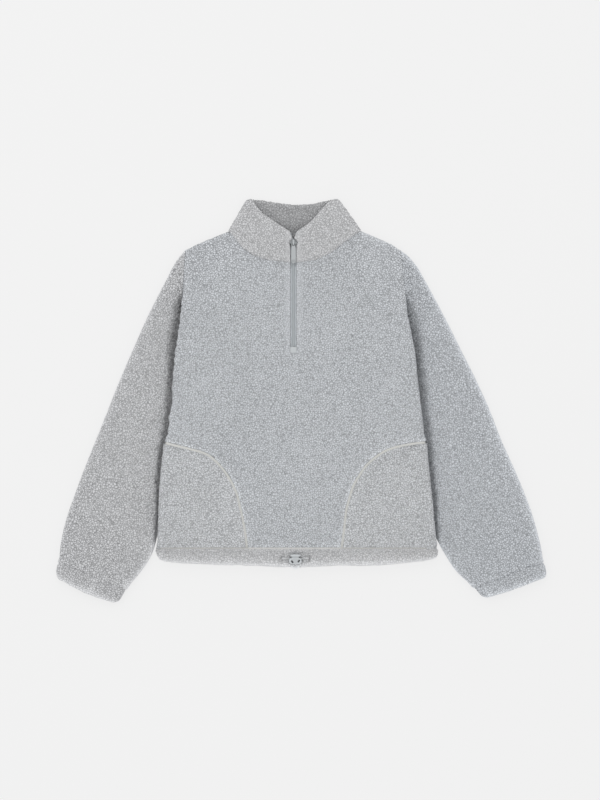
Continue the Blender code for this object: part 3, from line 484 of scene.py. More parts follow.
def with_pile(grid, seed, depth=1.0, sink=0.0, closed=False):
    """The grid with its pile pressed in, and its tone.

    depth is the pile's share of PILE_DEPTH, and sink lowers pile and cloth together,
    as a stitch line does; both may vary over the grid.  A closed ring lies on the table,
    so no point of it goes below that.
    """
    a, b = surface_run(grid)
    height = curls(a, b, seed)
    down = (1.0 - height) * PILE_DEPTH * depth + sink
    # tone: painted shade in the gaps between clumps, less where the pile is shallow, and random
    # unevenness
    tone = mix(GAP_TONE, TIP_TONE, height) + UNEVEN * drift(a, b, SMALL_PATCH, seed + 5)
    tone = mix(1.0, tone, np.clip(depth, 0.3, 1.0)) + UNEVEN * drift(a, b, LARGE_PATCH, seed + 6)
    outer = grid - outward(grid, closed) * down[..., None]
    if closed:
        outer[..., 2] = np.maximum(outer[..., 2], 0.0)
    return outer, tone


print("pile depth", PILE_DEPTH, "mm")

# %% [markdown]
# ## The laid form
#
# Front and back meet in a rounded fold at each side and at the shoulders, and stay
# level at the armholes and round the neck, where they are sewn.  The sleeves' inner
# halves are folded in under the body and lift it, so its sides stand over the sleeves
# with a deep shadow between.  One function gives the height of both panels.

# %% The laid form
GAP = 0.3                  # between two layers of cloth
FLEECE, SLEEVE_FLEECE, POCKET_FLEECE = 4.5, 4.3, 4.0     # thickness of the cloth
MID_HEIGHT = 6.1           # where front and back meet, over the table
FOLD_RADIUS = 6.0
LOFT_MIDDLE, LOFT_EDGE, LOFT_NECK = 10.8, 1.4, 1.0       # at the edge and neck, added
EDGE_RUN, NECK_RUN = 45.0, 70.0          # how far in from the edge and the neck
PRESSED_SLEEVE = 9.6       # a sleeve's height under the body
LIFT, LIFT_MARGIN, LIFT_RUN = 10.1, 20.0, 80.0     # by the sleeves; how far it reaches
LIFT_TOP, LIFT_TOP_RUN, LIFT_HEM_RUN = 145.0, 45.0, 54.0
SHOULDER_RUN = 8.0         # the neck's seam turns into the shoulder's fold over this
ARMHOLE, ARMHOLE_RUN = 150.0, 30.0       # the side fold turns into the armhole's seam here
ZIP_X, ZIP_BOTTOM = -12.5, 84.0
SLIT_HALF, BAND_HALF = 5.0, 15.5
HEM_SEAM = -246.0
NECK_LEFT, NECK_RIGHT = -121.0, 100.0

# x of the side folds and, above them, of the armholes.
SIDES = table("y left right", [
    (-246, -236.0, 219.5), (-238, -235.5, 222.2), (-228, -235.2, 221.0), (-200, -233.6, 217.8),
    (-166, -232.6, 215.0), (-140, -231.4, 212.2), (-100, -227.7, 207.8), (-46, -221.3, 203.9),
    (-6, -215.2, 198.8), (34, -212.4, 194.2), (84, -208.8, 189.0), (124, -202.4, 181.0),
    (140, -199.0, 177.0), (250, -192.0, 165.0)])
# Shoulders and neck seams in plan; the back's neck is higher than the front's.
LEFT_SHOULDER = [(-192, 250.0), (-175, 259.0), (-155, 267.5), (-134, 276.2), (-121, 280.2),
                 (-114, 277.4)]
RIGHT_SHOULDER = [(93, 278.4), (100, 281.4), (115, 275.8), (133, 268.0), (152, 259.4),
                  (165, 250.0)]
FRONT_NECK = [(-97, 253.8), (-77, 240.2), (-52, 233.4), (-28, 231.0), (-17.5, 230.2),
              (-7.5, 230.2), (3, 230.9), (25, 234.4), (50, 246.0), (72, 263.4)]
BACK_NECK = [(-97, 267.5), (-77, 260.0), (-52, 255.4), (-28, 253.8), (-17.5, 253.3),
             (-7.5, 253.3), (3, 253.9), (25, 256.6), (50, 261.6), (72, 267.2)]
FRONT_TOP, BACK_TOP = (table("x y", LEFT_SHOULDER + neck + RIGHT_SHOULDER)
                       for neck in (FRONT_NECK, BACK_NECK))
# Folds of the sleeves from the shoulder to the cuff: outer x, y and inner x, y.
SLEEVES = {"left": np.array([
    (-192.3, 250.0, -199.7, 139.5), (-203, 238.0, -198.0, 127.0), (-213.5, 222.0, -190.0, 111.0),
    (-224, 201.0, -178.0, 92.0), (-235, 180.0, -168.0, 70.0), (-258, 134.0, -161.0, 40.0),
    (-280, 84.0, -160.0, 8.0), (-301.5, 34.0, -165.0, -24.0), (-321.5, -16.0, -174.0, -57.0),
    (-341.5, -66.0, -192.0, -100.0), (-361.5, -116.0, -213.0, -145.0),
    (-380, -166.0, -233.0, -190.0), (-391.5, -200.0, -238.8, -226.0),
    (-399.0, -232.0, -248.9, -258.0), (-401.5, -252.0, -267.0, -286.0),
    (-402.5, -269.0, -291.0, -313.5)]), "right": np.array([
    (165.3, 250.0, 176.9, 139.5), (179, 239.5, 176.0, 127.0), (194.5, 220.5, 168.5, 111.0),
    (205, 202.0, 158.0, 92.0), (216, 182.0, 148.0, 70.0), (241.5, 134.0, 140.0, 40.0),
    (266.5, 84.0, 138.5, 8.0), (291.5, 34.0, 143.0, -24.0), (314, -16.0, 152.0, -57.0),
    (333.5, -66.0, 170.0, -100.0), (356, -116.0, 192.0, -145.0), (376.5, -166.0, 214.0, -190.0),
    (388, -200.0, 223.5, -226.0), (396.5, -232.0, 240.5, -258.0), (401, -252.0, 259.8, -286.0),
    (402, -268.5, 288.0, -311.0)])}
# Openings of the pockets, from the side fold to the hem.
POCKETS = {"left": np.array([
    (-250, -67.5), (-224.5, -68.5), (-210, -72), (-181, -79), (-159, -85.5), (-143, -96),
    (-127, -114), (-114, -134), (-105, -154), (-99.5, -175.5), (-94, -200.5), (-90, -223.5),
    (-88, -246), (-87.5, -262)]), "right": np.array([
    (230, -66), (205.5, -67.5), (189, -69), (160, -74.5), (140, -81), (125.5, -90),
    (109.5, -103.5), (97.5, -119.5), (85, -141), (78, -163), (73, -183), (70.5, -204),
    (68, -225.5), (65.5, -245.5), (65, -262)])}
SIGN = {"left": -1.0, "right": 1.0}


def bend(distance, radius):
    """How far up its quarter circle the cloth is: sqrt(1 - (1 - distance/radius)^2)."""
    t = np.clip(distance / radius, 0.0, 1.0)
    return np.sqrt(1.0 - (1.0 - t) ** 2)


def side_at(y, side):
    """x of a side fold at a height in plan, straight between the table's rows."""
    return np.interp(y, SIDES["y"], SIDES[side])


def lift(x, y):
    """Height of the sleeves' folded halves: full beside a sleeve's hidden fold, falling
    away to nothing over LIFT_RUN towards the middle, the armholes and the hem."""
    inner_left, inner_right = (np.interp(y, rows[::-1, 3], rows[::-1, 2])
                               for rows in SLEEVES.values())
    inward = np.minimum(x - inner_left, inner_right - x)
    across = 1.0 - ease((inward - LIFT_MARGIN) / LIFT_RUN)
    return (LIFT * across * (1.0 - ease((y - LIFT_TOP) / LIFT_TOP_RUN))
            * ease((y - HEM_SEAM) / LIFT_HEM_RUN))


def body_form(x, y, top):
    """Height share, loft, outward direction, and distances from the side and the top."""
    from_left = x - side_at(y, "left")
    from_right = side_at(y, "right") - x
    from_side = np.minimum(from_left, from_right)
    from_top = np.interp(x, top["x"], top["y"]) - y
    at_armhole = ease((y - ARMHOLE) / ARMHOLE_RUN)
    at_shoulder = np.maximum(ease((NECK_LEFT - x) / SHOULDER_RUN),
                             ease((x - NECK_RIGHT) / SHOULDER_RUN))
    share = (mix(bend(from_side, FOLD_RADIUS), 1.0, at_armhole)
             * mix(1.0, bend(from_top, FOLD_RADIUS), at_shoulder))
    loft = (LOFT_MIDDLE + LOFT_EDGE * (1.0 - ease(from_side / EDGE_RUN))
            + LOFT_NECK * (1.0 - ease(from_top / NECK_RUN)))
    out_x = np.clip(1.0 - from_side / FOLD_RADIUS, 0.0, 1.0) * (1.0 - at_armhole)
    out_x = out_x * np.where(from_left < from_right, -1.0, 1.0)
    out_y = np.clip(1.0 - from_top / FOLD_RADIUS, 0.0, 1.0) * at_shoulder
    flat = np.maximum(np.hypot(out_x, out_y), 1.0)
    out_x, out_y = out_x / flat, out_y / flat
    up = np.sqrt(np.maximum(1.0 - out_x ** 2 - out_y ** 2, 0.0))
    up = np.minimum(up, share * (MID_HEIGHT - GAP) / FLEECE)
    return share, loft, np.stack([out_x, out_y, up], axis=-1), from_side, from_top


def front_at(x, y, out=0.0):
    """Points of the front's outer face, moved out of it by a distance."""
    share, loft, normal, _, _ = body_form(x, y, FRONT_TOP)
    low = MID_HEIGHT + GAP / 2
    z = lift(x, y) + low + (loft - low) * share
    return np.stack([x, y, z], axis=-1) + normal * out


def back_at(x, y, out=0.0):
    """Points of the back's lower face, moved out of it by a distance."""
    share, _, normal, _, _ = body_form(x, y, BACK_TOP)
    z = lift(x, y) + (MID_HEIGHT - GAP / 2) * (1.0 - share)
    return np.stack([x, y, z], axis=-1) + normal * np.array([1.0, 1.0, -1.0]) * out


print("body height over the sleeves", LIFT + LOFT_MIDDLE + LOFT_EDGE, "mm")

# %% [markdown]
# ## Front and back panels
#
# The grid's outer columns keep to the side folds, its top row to the neck and
# shoulders, and one block of columns keeps to the zip's slit.  Near a fold the columns
# stand closer together, because the cloth turns there.

# %% Front and back panels
FOLD_STEPS = np.array([0.0, 0.25, 0.9, 2.2, 4.0])    # fine columns beside a fold
BODY_TOP = 250.0
CELL, BACK_CELL = 1.62, 2.1          # size of a cell of fine cloth
BODY_LENGTH = 500.0


def panel_grid(top, step):
    """x and y of a panel, with the first of the slit's columns.

    Rows share out the height between the hem seam and the top edge; columns share out
    the width between a side fold and the slit.
    """
    rows = blocks(BODY_LENGTH + 20.0, step)
    rise = np.concatenate([np.linspace(0.0, 1.0 - FOLD_RADIUS / BODY_LENGTH, rows - 3),
                           1.0 - FOLD_STEPS[[4, 3, 2, 0]] / BODY_LENGTH])[:, None]
    pieces = []
    for side, sign in SIGN.items():
        slit = ZIP_X + sign * SLIT_HALF
        width = abs(slit - side_at(BODY_TOP, side))
        number = blocks(width, step) - len(FOLD_STEPS) + 1
        share = np.concatenate([FOLD_STEPS / width,
                                np.linspace(FOLD_RADIUS / width, 1.0, number)])[None, :]
        y_top = np.interp(mix(side_at(BODY_TOP, side), slit, share), top["x"], top["y"])
        y = mix(HEM_SEAM, y_top, rise)
        pieces.append(np.stack([mix(side_at(y, side), slit, share), y], axis=-1))
    left, right = pieces[0], pieces[1][:, ::-1]
    across = np.linspace(0.0, 1.0, STRIDE + 1)[1:-1][None, :, None]
    slit = mix(left[:, -1:], right[:, :1], across)
    plan = np.concatenate([left, slit, right], axis=1)
    return plan[..., 0], plan[..., 1], left.shape[1] - 1


POCKETS_BELOW = -55.0                # both pockets lie below this y
ZIP_STITCHES = BAND_HALF - 2.0       # from the zip's middle
CROSS_STITCHES = 77.5                # y of the stitches below the zip
STITCH_WIDTH = 1.2                   # of the groove that the stitches lie in
BAND_SINK, STITCH_GROOVE = 0.5, 0.7
# How far the pile swells beside a pocket's opening and above the hem, and its reach.
OPENING_SWELL, OPENING_REACH = 3.3, 6.5
HEM_SWELL, HEM_REACH = 4.6, 8.5
# Places in the neck's seam that are drawn in: x, reach and share.
DRAWN = ((-87.0, 13.0, 1.0), (62.0, 12.0, 0.5))


def stitched_band(x, y):
    """1 in the flattened bands beside the zip, 0 in free pile."""
    beside = np.abs(x - ZIP_X)
    return (1.0 - ease((beside - BAND_HALF + 1.0) / 2.0)) * ease((y - ZIP_BOTTOM + 8.0) / 2.0)


def groove(distance, width):
    """A rounded groove: exp(-(distance/width)^2)."""
    return np.exp(-(distance / width) ** 2)


def rim_highlight(distance, amount):
    """Painted highlight near an outline, where the free pile tips are less shaded: amount
    exp(-distance / 3.6).
    """
    return amount * np.exp(-np.maximum(distance, 0.0) / 3.6)


def fold_tufts(x, y, from_side):
    """Tufts that stand out at the body's left fold below the armhole, in millimetres."""
    out = drift(y, 0.0, 4.6, 91) + 0.7 * drift(y, 0.0, 9.0, 92)
    return (1.1 * out * groove(from_side, FOLD_RADIUS)
            * (1.0 - ease((y - ARMHOLE) / ARMHOLE_RUN)) * (x < 0.0))


def beside_opening(x, y, reach):
    """1 at a pocket's opening, fading over reach, and where the front is free of pockets."""
    share = np.zeros_like(x)
    low = y < POCKETS_BELOW
    free = np.ones(x.shape, bool)
    for side, sign in SIGN.items():
        line = smooth_line(POCKETS[side], 90)
        away = np.hypot(x[low][:, None] - line[None, :, 0], y[low][:, None] - line[None, :, 1])
        share[low] = np.maximum(share[low], groove(away.min(axis=1), reach))
        free &= sign * (x - np.interp(-y, -line[:, 1], line[:, 0])) < 0.8
    return share * free, free


def make_front():
    """Front panel: pile, flattened bands beside the zip, and grooves at its seams.

    The pile swells beside the pockets' bindings and above the hem seam, where the
    tight sewing pushes it up.
    """
    x, y, slit = panel_grid(FRONT_TOP, CELL)
    _, _, _, from_side, from_top = body_form(x, y, FRONT_TOP)
    band = stitched_band(x, y)
    at_neck = span(x, NECK_LEFT, NECK_RIGHT, SHOULDER_RUN)
    at_armhole = ease((y - 120.0) / 30.0)
    beside_zip = np.abs(x - ZIP_X)
    stitch_line = np.maximum(
        groove(beside_zip - ZIP_STITCHES, STITCH_WIDTH) * ease((y - CROSS_STITCHES + 1.5) / 2.0),
        groove(y - CROSS_STITCHES, STITCH_WIDTH) * (beside_zip < BAND_HALF))
    at_opening, free = beside_opening(x, y, OPENING_REACH)
    swelling = np.maximum(OPENING_SWELL * at_opening,
                          HEM_SWELL * groove(y - HEM_SEAM, HEM_REACH) * free)
    drawn = sum(share * groove(x - place, reach) for place, reach, share in DRAWN)
    drawn = np.clip(drawn + 0.25, 0.0, 1.0)
    sink = (BAND_SINK * band + STITCH_GROOVE * stitch_line
            + (1.9 * drawn - 1.5) * groove(from_top, 3.2) * at_neck
            - 0.3 * groove(from_side, 2.0) * at_armhole - swelling
            - fold_tufts(x, y, from_side))
    grid = front_at(x, y)
    outer, tone = with_pile(grid, SEEDS["front_body"], depth=1.0 - 0.5 * band, sink=sink)
    # Painted highlight along the right shoulder's edge, which also smooths the clump pattern.
    rim = rim_highlight(from_top, 0.3) * (x > NECK_RIGHT)
    # Painted light: the pile is lighter where it swells, beside the pockets' openings, where it
    # cancels the binding's shade, and just above the hem seam.
    tone = tone + (0.05 * groove(beside_zip - 8.8, 2.6) * band + 0.012 * swelling
                   + 0.2 * beside_opening(x, y, 3.4)[0] + 0.03 * at_opening
                   + 0.04 * groove(y - HEM_SEAM - 4.0, 4.0) * free + rim)
    keep = np.ones(y[:-1:STRIDE, :-1:STRIDE].shape, bool)
    slit_row = int(np.argmin(np.abs(y[::STRIDE, slit] - ZIP_BOTTOM)))
    keep[slit_row:, slit // STRIDE] = False
    obj = add_shell("front_panel", outer, front_at(x, y, -FLEECE), tone, FLEECE_PILE,
                    pressed=0.35 * band + 2.0 * rim, keep=keep)
    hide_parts("front_body")


def make_back():
    """Back panel: its pile is pressed flat where it lies on the table."""
    x, y, _ = panel_grid(BACK_TOP, BACK_CELL)
    x, y = x[:, ::-1], y[:, ::-1]
    _, _, _, from_side, from_top = body_form(x, y, BACK_TOP)
    sink = (0.8 * groove(y - HEM_SEAM, 2.6) + 0.8 * groove(from_top, 2.6)
            - fold_tufts(x, y, from_side))
    grid = back_at(x, y)
    outer, tone = with_pile(grid, SEEDS["back_body"], depth=0.6, sink=sink)
    obj = add_shell("back_panel", outer, back_at(x, y, -FLEECE), tone, FLEECE_PILE)
    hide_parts("back_body")


make_front()
make_back()

# %% [markdown]
# ## Sleeves
#
# A sleeve is a tube that lies flat: it runs from its outer fold over the top to the
# fold hidden under the body, and back underneath.  Its upper face has fine columns and
# the face on the table has coarse ones.  Small gathers run up from the cuff seam.

# %% Sleeves
SLEEVE_LOFT = 12.4
LOOSE_FROM, LOOSE_RUN = 5.0, 26.0        # the body presses the sleeve up to here
SLEEVE_LENGTH, SLEEVE_WIDTH = 560.0, 150.0
LOW_CELL = 5.0             # size of a cell on the face that lies on the table
# Gathers at the cuff seams: place across the sleeve (0 at the outer fold), depth, and
# how far they run up the sleeve.
GATHERS = {
    "left": ((0.10, 1.0, 22.0), (0.24, 2.1, 34.0), (0.36, 1.2, 20.0), (0.50, 1.8, 30.0),
             (0.63, 1.1, 22.0), (0.76, 1.7, 26.0), (0.90, 1.0, 18.0)),
    "right": ((0.08, 1.2, 20.0), (0.21, 2.4, 36.0), (0.33, 1.1, 18.0), (0.45, 1.9, 28.0),
              (0.58, 2.3, 38.0), (0.72, 1.2, 22.0), (0.88, 1.4, 20.0)),
}


def sleeve_height(x, y, side):
    """Height of a sleeve in plan: low under the body's edge, full beside it."""
    beside = SIGN[side] * (x - side_at(y, side))
    loose = mix(PRESSED_SLEEVE, SLEEVE_LOFT, ease((beside - LOOSE_FROM) / LOOSE_RUN))
    head = LOFT_MIDDLE + LOFT_EDGE + LOFT_NECK * (1.0 - ease((BODY_TOP - y) / NECK_RUN))
    return mix(mix(loose, SLEEVE_LOFT, ease((-196.0 - y) / 40.0)), head,
               ease((y - 142.0) / 36.0))


# Painted highlight on the pile's rim along a sleeve's outer fold, and along its inner one.
RIM_HIGHLIGHTS = {"left": (0.2, 0.8), "right": (0.75, 0.35)}
GATHER_WIDTH = 0.026       # as a share of the sleeve's width
DIMPLE_DEPTH, DIMPLE_SPREAD = 1.6, 60.0
# Soft dimples above the cuff seams.
DIMPLES = {"left": ((-342.5, -281.0),), "right": ((320.0, -277.5), (375.0, -266.0))}
GAP_DEPTH = 3.2            # how far the sleeve falls away below the body's edge


def seam_shows(across, side):
    """Where the cuff's seam shows in the pile: a stretch near the outer fold only."""
    first, last = (0.22, 0.52) if side == "left" else (0.1, 0.5)
    return span(across, first, last, 0.06)


def gap_beside_body(x, y, side):
    """Share of the sleeve's fall beside the body's edge, and the pile's darkness there.

    The cloth has fallen under the whole body and rises again just outside its edge; the
    pile in that narrow place sees little light, most of all below the armhole.
    """
    beside = SIGN[side] * (x - side_at(y, side))
    line = mix(6.0, 3.5, ease((y + 90.0) / 60.0))        # where the sleeve starts to rise
    width = mix(3.0, 6.4, ease((y + 150.0) / 170.0))     # over which it rises
    if side == "right":
        width = width + 2.0 * ease((y + 200.0) / 60.0) + 3.0 * ease((y - 90.0) / 50.0)
        core = mix(mix(0.43, 0.48, ease((y + 30.0) / 60.0)), 0.3, ease((y - 110.0) / 40.0))
        along = ease((186.0 - y) / 50.0)
    else:
        width = width + 2.4 * ease((y - 30.0) / 70.0)
        core = mix(0.5, 0.58, ease((y - 10.0) / 60.0))
        along = ease((197.0 - y) / 50.0)
    along = along * ease((y + 246.0) / 30.0)
    jagged = 2.2 * drift(x, y, 3.6, 95) + 1.2 * drift(x, y, 8.0, 96)
    beyond = np.maximum(beside - line + jagged * ease((beside - line + 1.0) / 4.0), 0.0)
    gap = groove(beyond, width)
    rough = 1.0 + 0.22 * drift(x, y, 2.6, 97) * ease(beside / 4.0)
    shadow = 1.0 - along * (core * gap * rough + 0.06 * np.exp(-beyond / 13.0))
    if side == "left":      # painted light that cancels the crevice's shade at the seam beside the shoulder
        shadow = shadow + 0.3 * groove(beside + 0.8, 2.2) * ease((y - 185.0) / 20.0)
    return gap * along, shadow


def laid_ring(start, end, height, inset, top_columns, low_columns):
    """Grid of closed rings round a flat tube, its upper face first.

    start and end are rows of fold points; a ring rises along a quarter circle of half
    the tube's height at each fold and is level between.
    """
    length = np.linalg.norm(end - start, axis=1, keepdims=True)
    along = (end - start) / length
    first = height(start[:, 0], start[:, 1])[:, None] / 2 - inset
    last = height(end[:, 0], end[:, 1])[:, None] / 2 - inset
    wide = length - 2 * inset
    steps = FOLD_STEPS / FOLD_RADIUS

    def face(columns):
        """Plan, half height, rise and place across of one face of the ring."""
        middle = mix(first, wide - last, np.linspace(0.0, 1.0, columns)[None, :])
        run = np.concatenate([first * steps, middle, wide - last * steps[::-1]], axis=1)
        plan = start[:, None] + along[:, None] * (run + inset)[..., None]
        half = height(plan[..., 0], plan[..., 1]) / 2
        rise = (half - inset) * bend(run, first) * bend(wide - run, last)
        return plan, half, rise, run / wide

    plan, half, rise, across = face(top_columns)
    top = np.dstack([plan, half + rise])
    plan, half, rise, _ = face(low_columns)
    low = np.dstack([plan, half - rise])[:, 1:-1][:, ::-1]
    return np.concatenate([top, low], axis=1), across


def ring_columns(top_length, step, low_step):
    """Column counts of both faces, so that the whole ring is in blocks of STRIDE."""
    top = blocks(top_length, step)
    low = max(4, int(top_length / (low_step * FINE)))
    low += -(top + low + 4 * len(FOLD_STEPS) - 2) % STRIDE
    return top, low


def make_sleeve(side):
    """Sleeve: a tube of fleece, gathered into its cuff."""
    folds = smooth_line(SLEEVES[side], blocks(SLEEVE_LENGTH, CELL) + 1)
    start, end = folds[:, :2], folds[:, 2:]
    columns, low_columns = ring_columns(SLEEVE_WIDTH, CELL, LOW_CELL)

    def height(x, y):
        """This sleeve's height in plan."""
        return sleeve_height(x, y, side)

    grid, across = laid_ring(start, end, height, 0.0, columns, low_columns)
    inner, _ = laid_ring(start, end, height, SLEEVE_FLEECE, columns, low_columns)
    middle = (start + end) / 2
    above_cuff = np.linalg.norm(middle - middle[-1], axis=1)[:, None]
    from_head = np.linalg.norm(middle - middle[0], axis=1)[:, None]
    x, y, z = np.moveaxis(grid, -1, 0)
    upper = slice(0, across.shape[1])
    on_top, on_table = z > SLEEVE_LOFT / 2, z < SLEEVE_LOFT / 2 - 1.0
    gap, shadow = gap_beside_body(x, y, side)
    sink = (GAP_DEPTH * gap * ~on_table - 0.3 * groove(from_head, 2.4)
            - 2.2 * groove(above_cuff, 9.0) * on_top)
    for place, depth, reach in GATHERS[side]:
        sink[:, upper] += (depth * groove(across - place, GATHER_WIDTH)
                           * np.exp(-above_cuff / reach * 1.2))
    sink[:, upper] += 1.2 * groove(above_cuff - 0.6, 1.5) * seam_shows(across, side)
    for dimple_x, dimple_y in DIMPLES[side]:
        away = (x - dimple_x) ** 2 + (y - dimple_y) ** 2
        sink += DIMPLE_DEPTH * np.exp(-away / DIMPLE_SPREAD) * on_top
    wide = np.linalg.norm(end - start, axis=1)[:, None]
    free_inner = ease((-232.0 - y[:, upper]) / 12.0)
    # Painted highlights along both folds, where the free pile tips are less shaded; they also
    # smooth the clump pattern.
    rim = np.zeros(grid.shape[:2])
    rim[:, upper] = (rim_highlight(across * wide, RIM_HIGHLIGHTS[side][0])
                     + rim_highlight((1.0 - across) * wide, RIM_HIGHLIGHTS[side][1]) * free_inner)
    if side == "left":
        grid, inner, sink, on_table, shadow, rim = (
            part[:, ::-1] for part in (grid, inner, sink, on_table, shadow, rim))
    outer, tone = with_pile(grid, SEEDS["sleeve_" + side], sink=sink, closed=True,
                            depth=np.where(on_table, TABLE_PILE, 1.0))
    # Painted shade beside the body and painted highlights on the folds, except on the face on the
    # table.
    tone = np.minimum(tone * np.where(on_table, 1.0, shadow + rim), PALEST)
    obj = add_shell(side + "_sleeve", outer, inner, tone, FLEECE_SLEEVES[side],
                    pressed=np.minimum(1.2 * rim, MOST_PRESSED), closed=True)
    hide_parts("sleeve_" + side)


for side in SIGN:
    make_sleeve(side)

# %% [markdown]
# ## Cuffs
#
# A cuff is one strip, folded in half along its lower edge and sewn to the sleeve.  Its
# profile goes from the seam over the outer face, round the fold and back up inside,
# and that profile is carried round the flat ring of the sleeve's end.

# %% Cuffs
CUFF_LOFT, CUFF_LENGTH, CUFF_CELL = 15.0, 26.0, 1.5
CUFF_TONE = {"left": 0.92, "right": 0.945}
CUFF_ENDS = {"left": ((-408.0, -295.0), (-304.0, -338.6)),
             "right": ((409.5, -294.0), (303.0, -330.0))}
CUFF_CORNERS = (2.5, 5.0)  # how far the lower corners are drawn in, outer and inner fold
CUFF_BOW = {"left": 4.4, "right": 1.5}   # how far the lower edge bows out in its middle
CUFF_FULLNESS = 2.0        # how far the outer end stands out below the seam
# Distance from the seam, and depth under the cuff's outer face.
CUFF_PROFILE = ((-1.4, 1.6), (0.0, 0.5), (1.6, 0.1), (5, 0.0), (12, 0.0), (20, 0.0), (23, 0.5),
                (24.8, 1.4), (25.7, 2.4), (26, 3.5), (25.7, 4.6), (24, 6.2), (20, 7.0),
                (10, 7.0), (2.5, 7.0), (1.0, 6.6), (0.4, 5.8))


def make_cuff(side):
    """Cuff: its profile, carried round the flat ring at the end of the sleeve."""
    seam_start, seam_end = SLEEVES[side][-1, :2], SLEEVES[side][-1, 2:]
    low_start, low_end = (np.array(point) for point in CUFF_ENDS[side])
    along = (low_end - low_start) / np.linalg.norm(low_end - low_start)
    away = (low_start + low_end - seam_start - seam_end) / 2
    away = unit_rows((away - (away @ along) * along)[None])
    profile = smooth_line(CUFF_PROFILE, blocks(58.0, CUFF_CELL) + 1)
    columns, low_columns = ring_columns(116.0, CUFF_CELL, 4.0)

    def height(x, y):
        """The cuff is level."""
        return np.full_like(x, CUFF_LOFT)

    rings = []
    for distance, depth in profile:
        share = distance / CUFF_LENGTH
        drawn_out, drawn_in = (along * corner * share ** 6 for corner in CUFF_CORNERS)
        full = along * CUFF_FULLNESS * ease(share / 0.25) * ease((1.0 - share) / 0.6)
        first = mix(seam_start, low_start, share) + drawn_out - full
        last = mix(seam_end, low_end, share) - drawn_in
        ring = laid_ring(first[None], last[None], height, depth, columns, low_columns)[0][0]
        place = np.clip((ring[:, :2] - first) @ along / np.linalg.norm(last - first), 0.0, 1.0)
        ring[:, :2] += (away * CUFF_BOW[side] * max(share, 0.0) ** 2
                        * np.sin(np.pi * place ** 1.3)[:, None])
        rings.append(ring)
    grid = np.array(rings)
    if side == "left":
        grid = grid[:, ::-1]
    run, outside = profile[:, :1], profile[:, 1:] < 3.5
    on_top, on_table = grid[..., 2] > CUFF_LOFT / 2, grid[..., 2] < CUFF_LOFT / 2 - 2.0
    puckers = 0.5 * (1.0 + drift(surface_run(grid)[0], run, 9.0, 77)) * on_top
    outer, tone = with_pile(grid, SEEDS["cuff_" + side], depth=np.where(on_table, TABLE_PILE, 0.8),
                            sink=puckers, closed=True)
    ends = np.minimum(*(np.linalg.norm(grid[..., :2] - grid[:, k:k + 1, :2], axis=-1)
                        for k in (0, columns - 1)))
    # Painted highlight along the lower fold and the ends of the upper face, which also smooths the
    # clump pattern.
    rim = rim_highlight(CUFF_LENGTH - run, 0.9) + rim_highlight(ends, 0.2)
    rim = rim * ease((grid[..., 2] - CUFF_LOFT / 2 + 3.0) / 3.0) * outside
    tone = np.minimum(tone * (CUFF_TONE[side] + rim), PALEST)
    obj = add_piece(side + "_cuff_band", outer, looped(outer), tone.ravel(),
                    FLEECE_SLEEVES[side],
                    pressed=np.minimum(1.2 * rim, MOST_PRESSED).ravel())
    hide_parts("cuff_" + side)


for side in SIGN:
    make_cuff(side)

# %% [markdown]
# ## Hem casing
#
# The casing is a folded strip like the cuffs, with a channel in it for the drawcord.
# The front shows it full and round.  Two buttonholes let the cord out; each is a pit in
# the pile here, and its stitches are sewn round it further on.

# %% Hem casing
HEM_LEFT, HEM_RIGHT, HEM_LOFT = -241.5, 227.0, 18.0
HEM_DROP = 30.0            # from the seam to the lower edge
HEM_EDGE = table("x y", [
    (-241, -256.5), (-236, -262.5), (-226, -266.5), (-200, -269.5), (-168, -271.0),
    (-135, -272.6), (-100, -272.8), (-68, -274.4), (-35, -276.0), (0, -276.3), (32, -275.0),
    (66, -273.2), (100, -274.2), (132, -273.0), (165, -270.2), (200, -266.2), (214, -264.0),
    (224, -260.4), (228, -257.0)])
# Fraction of the band's height below the seam, and depth under its outer face.
HEM_PROFILE = ((0.0, 1.2), (0.04, 0.45), (0.1, 0.1), (0.35, 0.0), (0.7, 0.0), (0.84, 0.6),
               (0.93, 1.8), (0.98, 3.0), (1.0, 4.3), (0.98, 5.6), (0.9, 7.2), (0.7, 8.4),
               (0.35, 8.4), (0.1, 8.4), (0.0, 7.4))
LOCK_CENTRE = np.array([-9.5, -265.2, 22.9])      # the cord lock lies on the hem here
LOCK_HALF = np.array([10.2, 5.6, 4.5])
EYELETS = ((-32.5, -261.5), (13.5, -261.5))
EYELET_HALF, EYELET_DEPTH = (1.6, 4.7), 3.4
SIDE_SEAMS_OF_HEM = (-91.5, 69.5)        # faint seams that go on down from the pockets


